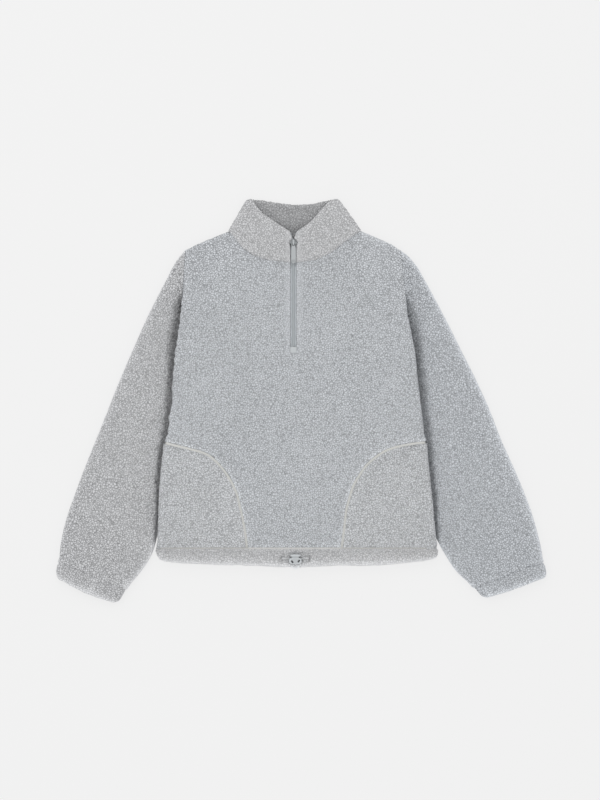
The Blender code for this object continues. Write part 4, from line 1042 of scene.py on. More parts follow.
def make_hem():
    """Hem casing: a profile carried round the body's lower opening."""
    scale = np.array([HEM_DROP, 1.0])
    profile = smooth_line(np.array(HEM_PROFILE) * scale, blocks(76.0, 1.55) + 1) / scale
    all_columns = ring_columns(462.0, CELL, 4.0)
    rings = []
    half = HEM_LOFT / 2
    for fall, depth in profile:
        radius = half - depth
        at_seam = 1.0 - ease(fall / 0.3)
        left = (mix(HEM_LEFT, HEM_EDGE["x"][0] + 4.0, fall ** 2) + depth) + 2.4 * at_seam
        right = (mix(HEM_RIGHT, HEM_EDGE["x"][-1] - 1.5, fall ** 2) - depth) - 3.84 * at_seam
        steps = FOLD_STEPS / FOLD_RADIUS * radius
        faces = []
        for columns in all_columns:
            middle = np.linspace(left + radius, right - radius, columns)
            x = np.concatenate([left + steps, middle, right - steps[::-1]])
            y = mix(HEM_SEAM - 0.4, np.interp(x, HEM_EDGE["x"], HEM_EDGE["y"]), fall)
            faces.append((x, y, bend(x - left, radius) * bend(right - x, radius) * radius))
        (x, y, rise), (low_x, low_y, low_rise) = faces
        upper = np.column_stack([x, y, half + rise])
        lower = np.column_stack([low_x, low_y, half - low_rise])[1:-1][::-1]
        rings.append(np.concatenate([upper, lower]))
    grid = np.array(rings)
    x, y, z = np.moveaxis(grid, -1, 0)
    fall, outside, on_top = profile[:, :1], profile[:, 1:] < 4.3, z > half
    between = span(x, -96.0, 74.0, 8.0)
    sink = 2.2 * groove(fall * HEM_DROP - mix(2.4, 4.0, between), 1.5) * outside
    for seam in SIDE_SEAMS_OF_HEM:
        sink = sink + 0.9 * groove(x - seam, 1.8) * outside * on_top
    pucker = 0.45 * (1.0 + drift(x, y, 17.0, 63)) * groove(fall - 0.15, 0.3)
    pit = np.zeros_like(x)
    for eye_x, eye_y in EYELETS:
        inside = np.hypot((x - eye_x) / (EYELET_HALF[0] + 0.6),
                          (y - eye_y) / (EYELET_HALF[1] + 0.6))
        pit = np.maximum(pit, ease((1.25 - inside) / 0.5) * outside * on_top)
    depth = np.where(z < half - 2.0, TABLE_PILE, 1.0) * (1.0 - 0.8 * pit)
    outer, tone = with_pile(grid, SEEDS["hem_casing"], depth=depth,
                            sink=sink + pucker + EYELET_DEPTH * pit, closed=True)
    # Distance from the cord lock's outline, for a ring of painted shade round it.
    round_lock = (np.abs((x - LOCK_CENTRE[0]) / LOCK_HALF[0]) ** 2.8
                  + np.abs((y - LOCK_CENTRE[1]) / LOCK_HALF[1]) ** 2.8) ** (1 / 2.8)
    # Painted highlight along the band's lower rounded edge, which also smooths the clump pattern.
    rim = 0.16 * ease((fall - 0.6) / 0.4) + rim_highlight(HEM_DROP * (1.0 - fall), 0.5)
    rim = rim * ease((z - half + 3.0) / 3.0)
    # Painted shade in the buttonholes' pits and round the cord lock; painted light makes the band
    # lighter from its middle down.
    tone = tone * (1.0 - 0.45 * pit) * (1.0 - 0.3 * groove(round_lock - 1.14, 0.13) * on_top)
    tone = np.minimum(tone * (1.0 + 0.06 * ease((fall - 0.3) / 0.3) + rim), PALEST)
    obj = add_piece("hem_band", outer, looped(outer), tone.ravel(), FLEECE_TRIM,
                    pressed=np.minimum(1.3 * rim, MOST_PRESSED).ravel())
    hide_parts("hem_casing")


make_hem()

# %% [markdown]
# ## Stand collar
#
# The collar is a doubled band that starts at one edge of the zip, goes round the back
# of the neck and ends at the other edge.  Laid down, it is pressed flat with a fold at
# each side.  A table gives its seam and its top edge in plan, and the angle it faces;
# a cross-section is swept along those rows.

# %% Stand collar
COLLAR = np.array([   # seam x, seam y, top x, top y, turn in degrees
    (-18.0, 230.8, -19.5, 280.5, 0), (-28.0, 231.6, -30.0, 287.0, 0),
    (-52.0, 234.0, -47.0, 299.0, 0), (-77.0, 240.8, -64.0, 310.5, 0),
    (-97.0, 254.4, -75.0, 323.5, 0), (-114.0, 278.0, -81.5, 333.5, 0),
    (-114.0, 278.0, -82.0, 332.6, 35), (-114.0, 278.0, -83.3, 330.5, 70),
    (-114.0, 278.0, -83.3, 330.5, 110), (-114.0, 278.0, -82.0, 332.6, 145),
    (-114.0, 278.0, -81.5, 333.5, 180), (-85.0, 263.5, -69.0, 333.0, 180),
    (-50.0, 256.0, -42.0, 328.5, 180), (-12.0, 254.2, -12.0, 324.5, 180),
    (25.0, 257.2, 20.0, 326.5, 180), (62.0, 265.5, 42.0, 331.5, 180),
    (93.0, 279.0, 53.5, 333.5, 180), (93.0, 279.0, 53.9, 332.7, 215),
    (93.0, 279.0, 55.4, 330.7, 250), (93.0, 279.0, 55.4, 330.7, 290),
    (93.0, 279.0, 53.9, 332.7, 325), (93.0, 279.0, 53.5, 333.5, 360),
    (72.0, 264.0, 42.0, 326.0, 360), (50.0, 246.6, 31.0, 313.0, 360),
    (25.0, 235.0, 14.5, 295.0, 360), (3.0, 231.5, 2.0, 286.0, 360),
    (-7.0, 230.8, -4.8, 281.0, 360)])
COLLAR_SEAM_THICKNESS, COLLAR_TOP_THICKNESS, COLLAR_CLEARANCE = 6.4, 7.2, 0.5
COLLAR_HEIGHT, COLLAR_CELL = 55.0, 1.7
COLLAR_STITCHES, COLLAR_GROOVE = 8.5, 0.8          # from the zip, and how deep
COLLAR_INSIDE_SHADE = 0.51       # painted shade of its inner face at the seam
# Share of the band's height, and share of half its thickness, from the seam up the outer
# face to the top edge; the inner face mirrors it.
COLLAR_FACE = np.array([(0.0, 0.72), (0.015, 0.9), (0.05, 1.0), (0.3, 1.0), (0.6, 1.0),
                        (0.9, 1.0), (0.945, 0.94), (0.975, 0.72), (0.993, 0.38), (1.0, 0.0)])


def collar_rows():
    """The collar's rows, made fine: each stretch of the table in steps of one size."""
    middle = (COLLAR[:, :2] + COLLAR[:, 2:4]) / 2
    turned = np.radians(COLLAR[:, 4])
    lengths = np.linalg.norm(np.diff(middle, axis=0), axis=1) + 6.8 * np.diff(turned)
    run = np.concatenate([[0.0], np.cumsum(lengths)])
    places = np.linspace(0.0, run[-1], blocks(run[-1], COLLAR_CELL) + 1)
    rows = np.column_stack([np.interp(places, run, COLLAR[:, k]) for k in range(5)])
    width = max(3, int(6 / FINE)) | 1
    kernel = np.hanning(width + 2)[1:-1]
    kernel = kernel / kernel.sum()
    soft = np.column_stack([np.convolve(np.pad(rows[:, k], width // 2, mode="edge"), kernel,
                                        mode="valid") for k in range(5)])
    soft[0], soft[-1] = rows[0], rows[-1]
    return soft, run[-1]


# Half the collar's opening at heights beside and above the slider, left and right.
COLLAR_OPENING = table("y left right", [
    (231.0, 5.0, 4.8), (253.0, 5.0, 4.7), (258.0, 5.9, 5.4), (262.0, 9.0, 8.2), (266.0, 5.6, 4.8),
    (269.5, 1.6, 0.2), (273.0, 3.4, 2.6), (277.0, 5.4, 5.0), (281.5, 7.4, 7.4)])
COLLAR_EASE = 16.0         # the cloth gives way this far from the zip


def shaped_opening(plan, from_zip):
    """Moves the collar's ends in plan so that its opening follows COLLAR_OPENING."""
    half_count = len(plan) // 2
    give = 1.0 - ease(from_zip / COLLAR_EASE)
    for rows, end, side, sign in ((slice(0, half_count), 0, "left", 1.0),
                                  (slice(half_count, None), -1, "right", -1.0)):
        wanted = np.interp(plan[end, :, 1], COLLAR_OPENING["y"], COLLAR_OPENING[side])
        present = np.abs(plan[end, :, 0] - ZIP_X)
        plan[rows, :, 0] += sign * give[rows] * (present - wanted)[None, :]
    return plan


def make_collar():
    """Collar: the cross-section swept round the neck, closed at both zip edges."""
    rows, length = collar_rows()
    scale = np.array([COLLAR_HEIGHT + 5.0, 3.4])
    section = np.concatenate([COLLAR_FACE, COLLAR_FACE[-2::-1] * np.array([1.0, -1.0])])
    section = smooth_line(section * scale, blocks(134.0, COLLAR_CELL)) / scale
    seam, top, turn = rows[:, :2], rows[:, 2:4], rows[:, 4]
    axis = unit_rows(top - seam)
    to_left = np.where(turn <= 180.0, 1.0, -1.0)
    outward_plan = quarter_left(axis) * to_left[:, None]
    angle = np.radians(np.where(turn <= 180.0, turn, 360.0 - turn))
    facing = np.column_stack([outward_plan * np.sin(angle)[:, None], np.cos(angle)])
    share, side = section[:, 0][None, :], section[:, 1][None, :]
    thickness = mix(COLLAR_SEAM_THICKNESS, COLLAR_TOP_THICKNESS, share)
    from_zip = np.minimum(np.arange(len(rows)), np.arange(len(rows))[::-1])[:, None] * (
        length / (len(rows) - 1))
    plan = shaped_opening(mix(seam[:, None], top[:, None], share[..., None]), from_zip)
    middle = np.dstack([plan, np.broadcast_to(thickness + COLLAR_CLEARANCE / 2, plan.shape[:2])])
    reach = thickness / 2 + COLLAR_CLEARANCE / 2 + side * thickness / 2
    grid = middle + facing[:, None] * reach[..., None]
    grid = grid[:, ::-1]
    share, side = share[:, ::-1], side[:, ::-1]
    outer_face = ease((side + 0.2) / 0.4)
    on_table = (facing[:, 2:] < -0.5) * outer_face
    edge = groove(from_zip, 5.0)
    stitched = groove(from_zip - COLLAR_STITCHES, STITCH_WIDTH) * outer_face
    sink = (0.3 * groove(share * COLLAR_HEIGHT, 2.0) + 0.4 * edge + COLLAR_GROOVE * stitched
            + 0.5 * (1.0 + drift(from_zip, share * COLLAR_HEIGHT, 34.0, 88)))
    depth = (1.0 - 0.55 * on_table) * (1.0 - 0.6 * ease((10.0 - from_zip) / 3.0))
    outer, tone = with_pile(grid, SEEDS["collar"], depth=depth, sink=sink * (1.0 - on_table),
                            closed=True)
    # Painted shade on the inner face, darkest at the seam and lighter towards the top edge, and a
    # painted highlight on the outer face where the right-hand fold turns under.
    inside = (COLLAR_INSIDE_SHADE + 0.17 * ease((share - 0.4) / 0.27)
              + 0.1 * ease((share - 0.9) / 0.1))
    tone = tone * mix(inside, 1.0 + 0.25 * groove(turn[:, None] - 232.0, 36.0), outer_face)
    pressed = 0.6 * (1.0 - ease((from_zip - 6.0) / 4.0)) * outer_face
    obj = add_piece("stand_collar", outer, capped(outer), tone.ravel(), FLEECE_TRIM,
                    pressed=pressed.ravel())
    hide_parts("collar")
    print("collar runs", round(length), "mm")


make_collar()

# %% [markdown]
# ## Pockets
#
# Each pocket is one more layer of fleece on the lower front.  Its opening is a deep
# curve from the side fold to the hem seam.  The grid's rows start at evenly spaced
# places along that curve and run level to the side fold, where the columns crowd
# together for the turn.

# %% Pockets
BINDING_WIDTH, BINDING_HEIGHT, BINDING_ARCH = 4.6, 5.0, 1.3
OPENING_LENGTH, POCKET_REACH = 250.0, 146.0
CROWDING = 1.35            # power that crowds the columns together at the side fold
RIB_PITCH, RIB = 3.0, 0.12           # of the binding's knit


def opening_line(side, shift, number):
    """The opening's curve, moved into the pocket, from the side fold to the hem seam."""
    line = smooth_line(POCKETS[side], 400)
    along = unit_rows(np.gradient(line, axis=0))
    moved = line + quarter_left(along) * SIGN[side] * shift
    fold = side_at(moved[:, 1], side)
    inside = (np.abs(moved[:, 0]) < np.abs(fold) - 0.2) & (moved[:, 1] > HEM_SEAM + 0.2)
    kept = moved[inside]
    end = np.array([[np.interp(-HEM_SEAM, -moved[:, 1], moved[:, 0]), HEM_SEAM]])
    first = kept[0]
    start = np.array([[side_at(first[1], side), first[1] + 0.2]])
    return smooth_line(np.concatenate([start, kept[::4], end]), number)


def make_pocket(side):
    """Pocket layer: from the binding's inner edge to the side fold and the hem seam."""
    rows = blocks(OPENING_LENGTH, CELL)
    edge = opening_line(side, BINDING_WIDTH - 0.8, rows + 1)
    y = edge[:, 1][:, None]
    share = np.linspace(0.0, 1.0, blocks(POCKET_REACH, 1.45) + 1)[None, :] ** CROWDING
    x = mix(side_at(y, side), edge[:, 0][:, None], share)
    x, y = x[::-1], np.broadcast_to(y, x.shape)[::-1]
    if side == "right":
        x, y, share = x[:, ::-1], y[:, ::-1], share[:, ::-1]
    grid = front_at(x, y, GAP + POCKET_FLEECE)
    to_opening = (1.0 - share) * np.abs(edge[::-1, 0][:, None] - side_at(y[:, :1], side))
    sink = (0.4 * (1.0 + drift(x, y, 48.0, 91)) - 1.6 * groove(y - HEM_SEAM, 7.0)
            - 0.3 * groove(to_opening, 3.0))
    height = curls(x, y, SEEDS["pocket_" + side])
    outer = grid - outward(grid) * ((1.0 - height) * PILE_DEPTH + sink)[..., None]
    # Painted shade in the gaps between clumps; painted light near the opening, with a thin line of
    # painted shade beside the binding.
    tone = (mix(GAP_TONE, TIP_TONE, height) + UNEVEN * drift(x, y, SMALL_PATCH, 76)
            + 0.05 * groove(to_opening - 2.0, 6.0) - 0.07 * groove(to_opening - 3.4, 1.2))
    obj = add_shell(side + "_pocket", outer, front_at(x, y, GAP), tone, FLEECE_POCKET)
    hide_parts("pocket_" + side)


def make_binding(side):
    """Binding: a folded knit strip along the opening, a little above the pile."""
    number = int(OPENING_LENGTH / (1.1 * FINE))
    line = opening_line(side, BINDING_WIDTH / 2, number)
    along = unit_rows(np.gradient(line, axis=0))
    sideways = np.column_stack([quarter_left(along), np.zeros(number)])
    path = front_at(line[:, 0], line[:, 1], GAP)
    half, high = BINDING_WIDTH / 2, BINDING_HEIGHT - 1.2
    turn = np.linspace(0.0, np.pi, 13)
    across = np.concatenate([[half], np.cos(turn) * half, [-half]])[None, :]
    up = np.concatenate([[0.0], high - BINDING_ARCH + BINDING_ARCH * np.sin(turn), [0.0]])[None, :]
    grid = swept(path, sideways, np.array([[0.0, 0.0, 1.0]]), across, up)
    run = np.linspace(0.0, OPENING_LENGTH, number)[:, None]
    ribs = np.cos(run * 2 * np.pi / RIB_PITCH) * RIB
    grid[:, 1:-1, 2] += ribs - RIB + 0.2 * drift(run, 0.0, 11.0, 97)
    tone = np.broadcast_to(mix(1.03, 0.97, ease(run / 130.0)) + 0.3 * ribs, grid.shape[:2])
    obj = add_piece(side + "_pocket_binding", grid, capped(grid), tone.ravel(), KNIT_BINDING)
    recalculate(obj)
    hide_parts("pocket_binding_" + side)


for side in SIGN:
    make_pocket(side)
for side in SIGN:
    make_binding(side)

# %% [markdown]
# ## Hem piping
#
# A flat, smooth strip is caught in the seam between body and hem casing.  The front
# shows it between the pockets and less beside them, where thick pile closes over it.
# It is a small oval section carried once round the body.

# %% Hem piping
PIPING_HALF = (2.7, 1.3)
PIPING_Y = -246.3
PIPING_TONES = (0.76, 0.9)           # beside the pockets, darker as painted shade where thick pile closes over it, and between them
PUCKER_PITCH = 3.4


def make_piping():
    """Piping: an oval section along a flat ring through the hem seam."""
    start = np.array([[SIDES["left"][0] + 1.6, PIPING_Y]])
    end = np.array([[SIDES["right"][0] - 6.0, PIPING_Y]])
    ring, _ = laid_ring(start, end, lambda x, y: np.full_like(x, 15.0), 1.0,
                        int(300 / FINE), int(100 / FINE))
    path = ring[0]
    path[:, 2] = mix(2.2, 16.4, ease((path[:, 2] - 1.0) / 13.0))
    along = unit_rows(np.roll(path, -1, 0) - np.roll(path, 1, 0))
    side = np.broadcast_to(np.array([0.0, 1.0, 0.0]), along.shape)
    up = np.cross(along, side)
    run, turn = run_along(path), full_turn(12)
    ripple = np.cos(run * 2 * np.pi / PUCKER_PITCH)
    high = PIPING_HALF[1] * (1.0 + 0.08 * ripple + 0.1 * drift(run, 0.0, 13.0, 7))
    grid = swept(path, side, up, (np.cos(turn) * PIPING_HALF[0])[None, :],
                 np.sin(turn)[None, :] * high[:, None])
    between = span(path[:, 0], -97.0, 76.0, 10.0)
    # Painted shade beside the pockets, and a little painted light and shade on the puckers.
    tone = np.repeat(mix(*PIPING_TONES, between) + 0.03 * ripple, len(turn))
    obj = add_piece("hem_piping", grid, looped(grid), tone, KNIT_PIPING)
    recalculate(obj)


make_piping()

# %% [markdown]
# ## Zip tape and teeth
#
# The tape is a flat woven ribbon in the slit.  Below the slider its halves meet; above
# it they part and follow the collar's edges.  The teeth are a nylon coil: every tooth
# is a short bar, a little past the middle, from the left and the right in turn.  One
# small bar is made once and set out along the zip as whole arrays.

# %% Zip tape and teeth
TAPE_DEPTH, TAPE_THICKNESS = 3.4, 1.0
TAPE_BOTTOM, TAPE_TOP = 86.0, 279.0
SLIDER_Y = 262.0
TAB_END_Y, TAB_SHADE = 224.0, 0.22       # the tape is darker under the pull tab's end,
SLIDER_SHADE = 0.55                      # and beside the slider
FIRST_TOOTH, TOOTH_PITCH = 89.5, 1.6
TOOTH_LENGTH, TOOTH_RADIUS, TOOTH_ARCH, TOOTH_TURN = 3.3, 0.62, 0.25, 0.12


def zip_height(y):
    """Height of the cloth beside the zip."""
    y = np.asarray(y, float)
    below = front_at(np.full_like(y, ZIP_X - BAND_HALF), np.minimum(y, 230.0))[..., 2]
    return below + ease((y - 225.0) / 55.0) * 1.2


def tape_half(y):
    """Half widths of the tape's outer and inner edges: together, then parting."""
    part = ease((y - 264.0) / 15.0)
    return mix(SLIT_HALF - 0.2, 7.0, part), mix(0.15, 3.7, part)


def make_tape():
    """Tape: one half on each side of the zip, rolled a little at its inner edge."""
    y = np.linspace(TAPE_BOTTOM, TAPE_TOP, 130)[:, None]
    outer_half, inner_half = tape_half(y)
    share = np.linspace(0.0, 1.0, 9)[None, :]
    half = mix(inner_half, outer_half, share)
    z = zip_height(y) - TAPE_DEPTH + 0.25 * share ** 2 - 0.15 * groove(half - 3.3, 0.3)
    points, faces, tones, first = [], [], [], 0
    for sign in (-1.0, 1.0):
        top = np.stack([ZIP_X + sign * half, np.broadcast_to(y, z.shape), z], axis=-1)
        low = top - np.array([0.0, 0.0, TAPE_THICKNESS])
        ring = np.concatenate([top, low[:, ::-1]], axis=1)
        from_middle = np.abs(ring[..., 0] - ZIP_X)
        streaks = 0.09 * drift(ring[..., 0], ring[..., 1] / 2.0, 1.7, 29)
        under_tab = TAB_SHADE * groove(ring[..., 1] - TAB_END_Y, 2.6)
        beside_slider = (SLIDER_SHADE * groove(ring[..., 1] - SLIDER_Y - 1.0, 9.0)
                         * ease((from_middle - 3.6) / 1.2))
        tones.append(1.0 + streaks - under_tab - beside_slider
                     + 0.1 * groove(from_middle - 4.4, 0.8))
        faces += capped(ring, first)
        points.append(ring.reshape(-1, 3))
        first += len(points[-1])
    obj = add_piece("zip_tape_halves", np.concatenate(points), faces,
                    np.concatenate([part.ravel() for part in tones]), ZIP_TAPE)
    recalculate(obj)
    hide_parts("zip_tape")


def set_out(name, unit, unit_faces, places, turns, tone, material):
    """Copies of one unit: each is turned about Z by its angle and moved to its place."""
    c, s = np.cos(turns)[:, None], np.sin(turns)[:, None]
    x = unit[None, :, 0] * c - unit[None, :, 1] * s
    y = unit[None, :, 0] * s + unit[None, :, 1] * c
    z = np.broadcast_to(unit[None, :, 2], x.shape)
    points = np.stack([x, y, z], axis=-1) + places[:, None]
    faces = unit_faces[None] + (np.arange(len(places)) * len(unit))[:, None, None]
    return add_piece(name, points, faces.reshape(-1, faces.shape[-1]).tolist(), tone, material)


def bar(length, radius):
    """A round-ended bar along X: rings of quads whose radius is eased in at both ends."""
    share = np.array([0.0, 0.04, 0.14, 0.5, 0.86, 0.96, 1.0])
    girth = np.array([0.05, 0.6, 0.95, 1.0, 0.95, 0.6, 0.05]) * radius
    turn = full_turn(6)
    x = np.broadcast_to(((share - 0.5) * length)[:, None], (len(share), len(turn)))
    points = np.stack([x, np.cos(turn) * girth[:, None], np.sin(turn) * girth[:, None]], axis=-1)
    return points.reshape(-1, 3), quads(*x.shape, True)[:, ::-1]


def make_teeth():
    """Coil: bars from the left and the right in turn, with a rise to the middle."""
    unit, faces = bar(TOOTH_LENGTH, TOOTH_RADIUS)
    unit[:, 2] += TOOTH_ARCH * (1.0 - (unit[:, 0] / (TOOTH_LENGTH / 2)) ** 2)
    y = np.arange(FIRST_TOOTH, SLIDER_Y - 5.0, TOOTH_PITCH / 2)
    side = np.where(np.arange(len(y)) % 2 == 0, -1.0, 1.0)
    places = np.column_stack([ZIP_X + side * 1.05, y, zip_height(y) - TAPE_DEPTH + 0.75])
    obj = set_out("zip_teeth", unit, faces, places, side * TOOTH_TURN, 1.0, NYLON)
    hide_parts("zip_coil")


make_tape()
make_teeth()

# %% [markdown]
# ## Patch below the zip
#
# A square of smooth cloth covers the zip's lower end, sewn down round its four edges.

# %% Patch below the zip
PATCH = (10.8, 10.4, 1.1)  # width, height and rise of its middle
PATCH_COUNT = 25           # points along each edge of the patch
PATCH_CLOTH = finish("smooth_patch_cloth", (0.55, 0.575, 0.59), 0.8, 0.8, 0.12, specular=0.15)


def make_patch():
    """Patch: a pillow with a pressed edge and a slightly raised middle."""
    n = PATCH_COUNT
    u = np.linspace(-1.0, 1.0, n)
    across, up = np.meshgrid(u, u)
    edge = np.minimum(1.0 - np.abs(across), 1.0 - np.abs(up))
    level = np.max(zip_height([ZIP_BOTTOM - 6.0, ZIP_BOTTOM + 6.0])) - 0.15
    rise = PATCH[2] * bend(edge, 0.16) - 0.35 * groove(edge - 0.22, 0.06)
    top = np.stack([ZIP_X + across * PATCH[0] / 2, ZIP_BOTTOM + up * PATCH[1] / 2,
                    level + rise], axis=-1)
    low = top * np.array([1.0, 1.0, 0.0]) + np.array([0.0, 0.0, level - 0.1])
    points = np.concatenate([top.reshape(-1, 3), low.reshape(-1, 3)])
    faces = quads(n, n, False).tolist() + quads(n, n, False, n * n, True).tolist()
    last = n * (n - 1)
    border = np.concatenate([np.arange(n - 1), np.arange(n - 1, last, n),
                             np.arange(n * n - 1, last, -1), np.arange(last, 0, -n)])
    after = np.roll(border, -1)
    faces += np.stack([after, border, border + n * n, after + n * n], axis=1).tolist()
    obj = add_piece("zip_end_patch", points, faces, 1.0, PATCH_CLOTH)
    recalculate(obj)
    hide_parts("zip_patch")


make_patch()

# %% [markdown]
# ## Slider and pull tab
#
# The slider is a small shield with a bridge on it.  The tab hangs on the bridge by a
# hole and swings about it, so it rides on its own body.  Both are made of rings: an
# outline in plan is drawn in at the top and bottom edges, as a mould's round corners
# leave it.

# %% Slider and pull tab
SLIDER_BASE, SLIDER_RISE = 11.55, 3.2
PULL_TILT = np.radians(4.5)
AXLE_Z = 16.6
PULL_HOLE = np.array([2.15, 2.25])       # half width and half height of the tab's hole
HOLE_CENTRE = np.array([0.0, -3.15])
GRIP_Y, GRIP_DEPTH = -30.9, 0.5


def stacked(outline, levels):
    """Rings from an outline: at each (height, inset) it is drawn in along its normals."""
    out = -quarter_left(unit_rows(np.roll(outline, -1, 0) - np.roll(outline, 1, 0)))
    return np.array([np.column_stack([outline - out * inset, np.full(len(outline), height)])
                     for height, inset in levels])


def squared(turn, power):
    """Cosine and sine of a turn, raised to a power with their signs kept."""
    c, s = np.cos(turn), np.sin(turn)
    return np.sign(c) * np.abs(c) ** power, np.sign(s) * np.abs(s) ** power


def both_halves(half, width=1.0):
    """A closed outline from its right half; its left half is width times as wide."""
    return np.concatenate([half, half[1:-1][::-1] * np.array([-width, 1.0])])


def make_slider():
    """Slider: a shield, wide where the tape's halves part, and an arched bridge."""
    half = smooth_line([(0.0, -6.2), (2.5, -6.1), (3.3, -5.4), (3.5, -3.4), (4.3, -2.1),
                        (6.6, -1.5), (7.1, -0.7), (6.5, 0.4), (4.2, 2.7), (2.0, 5.0), (0.9, 6.2),
                        (0.0, 6.5)], 46)
    levels = [(0.0, 0.5), (0.35, 0.1), (0.8, 0.0), (1.3, 0.35), (1.6, 0.35), (2.0, 0.0),
              (2.6, 0.1), (3.0, 0.35), (3.2, 0.7), (3.2, 1.3), (3.0, 1.6), (2.7, 1.7)]
    rings = stacked(both_halves(half, 1.1), levels) + np.array([ZIP_X, SLIDER_Y, SLIDER_BASE])
    arch = smooth_line([(-3.9, 0.0), (-3.9, 2.4), (-3.1, 3.7), (-1.6, 4.0), (1.6, 4.0), (3.1, 3.7),
                        (3.9, 2.4), (3.9, 0.0)], 34)
    out = quarter_left(unit_rows(np.gradient(arch, axis=0)))
    wide, thick = squared(full_turn(12), 0.6)
    yz = arch[:, None] + out[:, None] * (thick * 0.58)[None, :, None]
    bridge = np.stack([np.broadcast_to(wide * 1.08, yz.shape[:2]) + ZIP_X, yz[..., 0] + SLIDER_Y,
                       yz[..., 1] + SLIDER_BASE + SLIDER_RISE - 0.2], axis=-1)
    points = np.concatenate([rings.reshape(-1, 3), bridge.reshape(-1, 3)])
    faces = capped(rings) + capped(bridge, rings.shape[0] * rings.shape[1])
    painted_light = np.array([0.6] * 8 + [0.55, 0.72, 0.95, 0.98])      # painted shade round its edge and on its sides
    tone = np.concatenate([np.repeat(painted_light, rings.shape[1]), np.full(bridge[..., 0].size, 0.98)])
    obj = add_piece("slider_shield", points, faces, tone, MOULDED)
    recalculate(obj)
    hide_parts("zip_slider")


def make_pull():
    """Pull tab: rays from its hole to its outline, thicker at the rim and hollowed where
    a thumb grips it."""
    half = smooth_line([(0.0, 0.95), (2.1, 0.9), (3.0, 0.0), (3.0, -5.5), (3.5, -8.0),
                        (3.9, -14.0), (3.95, -26.0), (3.8, -31.0), (2.9, -33.9), (1.5, -34.7),
                        (0.0, -34.8)], 64)
    outline = both_halves(half)
    ray = outline - HOLE_CENTRE
    angle = np.arctan2(ray[:, 1], ray[:, 0])
    hole = HOLE_CENTRE + np.column_stack(squared(angle, 0.5)) * PULL_HOLE
    share = np.concatenate([[0.0, 0.0, 0.02], np.linspace(0.06, 0.94, 42), [0.985, 1.0, 1.0]])
    plan = mix(hole[None], outline[None], share[:, None, None])
    rim = np.linalg.norm(outline - hole, axis=1)[None, :]
    from_edge = np.minimum(share[:, None] * rim, (1.0 - share[:, None]) * rim)
    rise = 0.55 + 0.45 * bend(from_edge, 0.7)
    grip = (ease((2.6 - np.abs(plan[..., 1] - GRIP_Y)) / 0.8)
            * ease((3.1 - np.abs(plan[..., 0])) / 0.6))
    rise = rise - GRIP_DEPTH * grip
    rise = np.where((share[:, None] == 0.0) | (share[:, None] == 1.0), 0.5, rise)
    top = np.dstack([plan, rise])
    ring = np.concatenate([top, (top * np.array([1.0, 1.0, -1.0]))[::-1]])
    shade = 1.0 - 0.2 * grip - 0.3 * groove(share[:, None] * rim, 0.6)
    tone = 0.86 * np.concatenate([shade, shade[::-1]])
    y, z = ring[..., 1], ring[..., 2]
    placed = np.stack([ring[..., 0] + ZIP_X,
                       y * np.cos(PULL_TILT) - z * np.sin(PULL_TILT) + SLIDER_Y,
                       y * np.sin(PULL_TILT) + z * np.cos(PULL_TILT) + AXLE_Z], axis=-1)
    obj = add_piece("pull_tab_plate", placed, looped(placed), tone.ravel(), MOULDED,
                    body="pull")
    recalculate(obj)
    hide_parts("pull_tab")


make_slider()
make_pull()

# %% [markdown]
# ## Drawcord
#
# The cord comes out of one buttonhole, goes through the lock, makes a short loop below
# it and goes back in at the other.  Its route is the solid's, point for point; the
# braid is two sets of strands that cross, worked as a small ripple of the radius.

# %% Drawcord
CORD_RADIUS = 1.5
BRAID_STRANDS, BRAID_TURN, BRAID_DEPTH = 4, 2.1, 0.06    # twist in radians to the millimetre
CORD_HALF = np.array([
    (-23.0, -261.5, 14.9), (-23.0, -261.5, 17.2), (-21.7, -261.5, 20.4),
    (-18.6, -261.4, 22.3), (-14.8, -261.3, 22.8), (-11.2, -261.4, 22.7),
    (-8.0, -262.7, 22.5), (-6.1, -265.8, 22.4), (-5.7, -269.8, 22.2),
    (-5.6, -272.9, 21.7), (-4.3, -276.0, 21.2), (0.0, -277.8, 20.9)])


def make_cord():
    """Cord: rings round its route, radius = r (1 + ripple of the crossing strands)."""
    right = CORD_HALF[:-1][::-1] * np.array([-1.0, 1.0, 1.0])
    route = np.concatenate([CORD_HALF, right]) + np.array([LOCK_CENTRE[0], 0.0, 0.0])
    path = smooth_line(route, 150)
    length = np.linalg.norm(np.diff(path, axis=0), axis=1).sum()
    along = unit_rows(np.gradient(path, axis=0))
    side = unit_rows(np.cross(along, np.array([0.15, 0.9, 0.4])))
    over = np.cross(side, along)
    turn = full_turn(32)[None, :]
    run = np.linspace(0.0, length, len(path))[:, None]
    strands = np.maximum(*(np.cos(BRAID_STRANDS * turn + sign * run * BRAID_TURN)
                           for sign in (1.0, -1.0)))
    radius = CORD_RADIUS * (1.0 - BRAID_DEPTH + BRAID_DEPTH * strands)
    grid = swept(path, side, over, np.cos(turn) * radius, np.sin(turn) * radius)
    across, below = np.abs(path[:, 0] - LOCK_CENTRE[0]), -270.5 - path[:, 1]
    # Painted shade on the cord near the lock, and painted light on the loop below it.
    painted_light = 1.0 - 0.22 * ease((19.0 - across) / 6.0) + 0.7 * ease(below / 4.0)
    tone = (0.92 + 0.08 * strands) * painted_light[:, None]
    obj = add_piece("braided_drawcord", grid, capped(grid), tone.ravel(), BRAID)
    recalculate(obj)
    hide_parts("drawcord")
    print("cord's visible run", round(length, 1), "mm")
    return obj, path, length


braided_drawcord, cord_path, cord_length = make_cord()

# %% [markdown]
# ## Cord lock
#
# A spring toggle: an oval barrel with two sloping slots on its face, and a button on
# its upper side that frees the cord when it is pressed.  The barrel's outline is a
# squared oval; a profile from the middle of its base to the middle of its face makes
# the barrel, and the slots are pressed into that face.

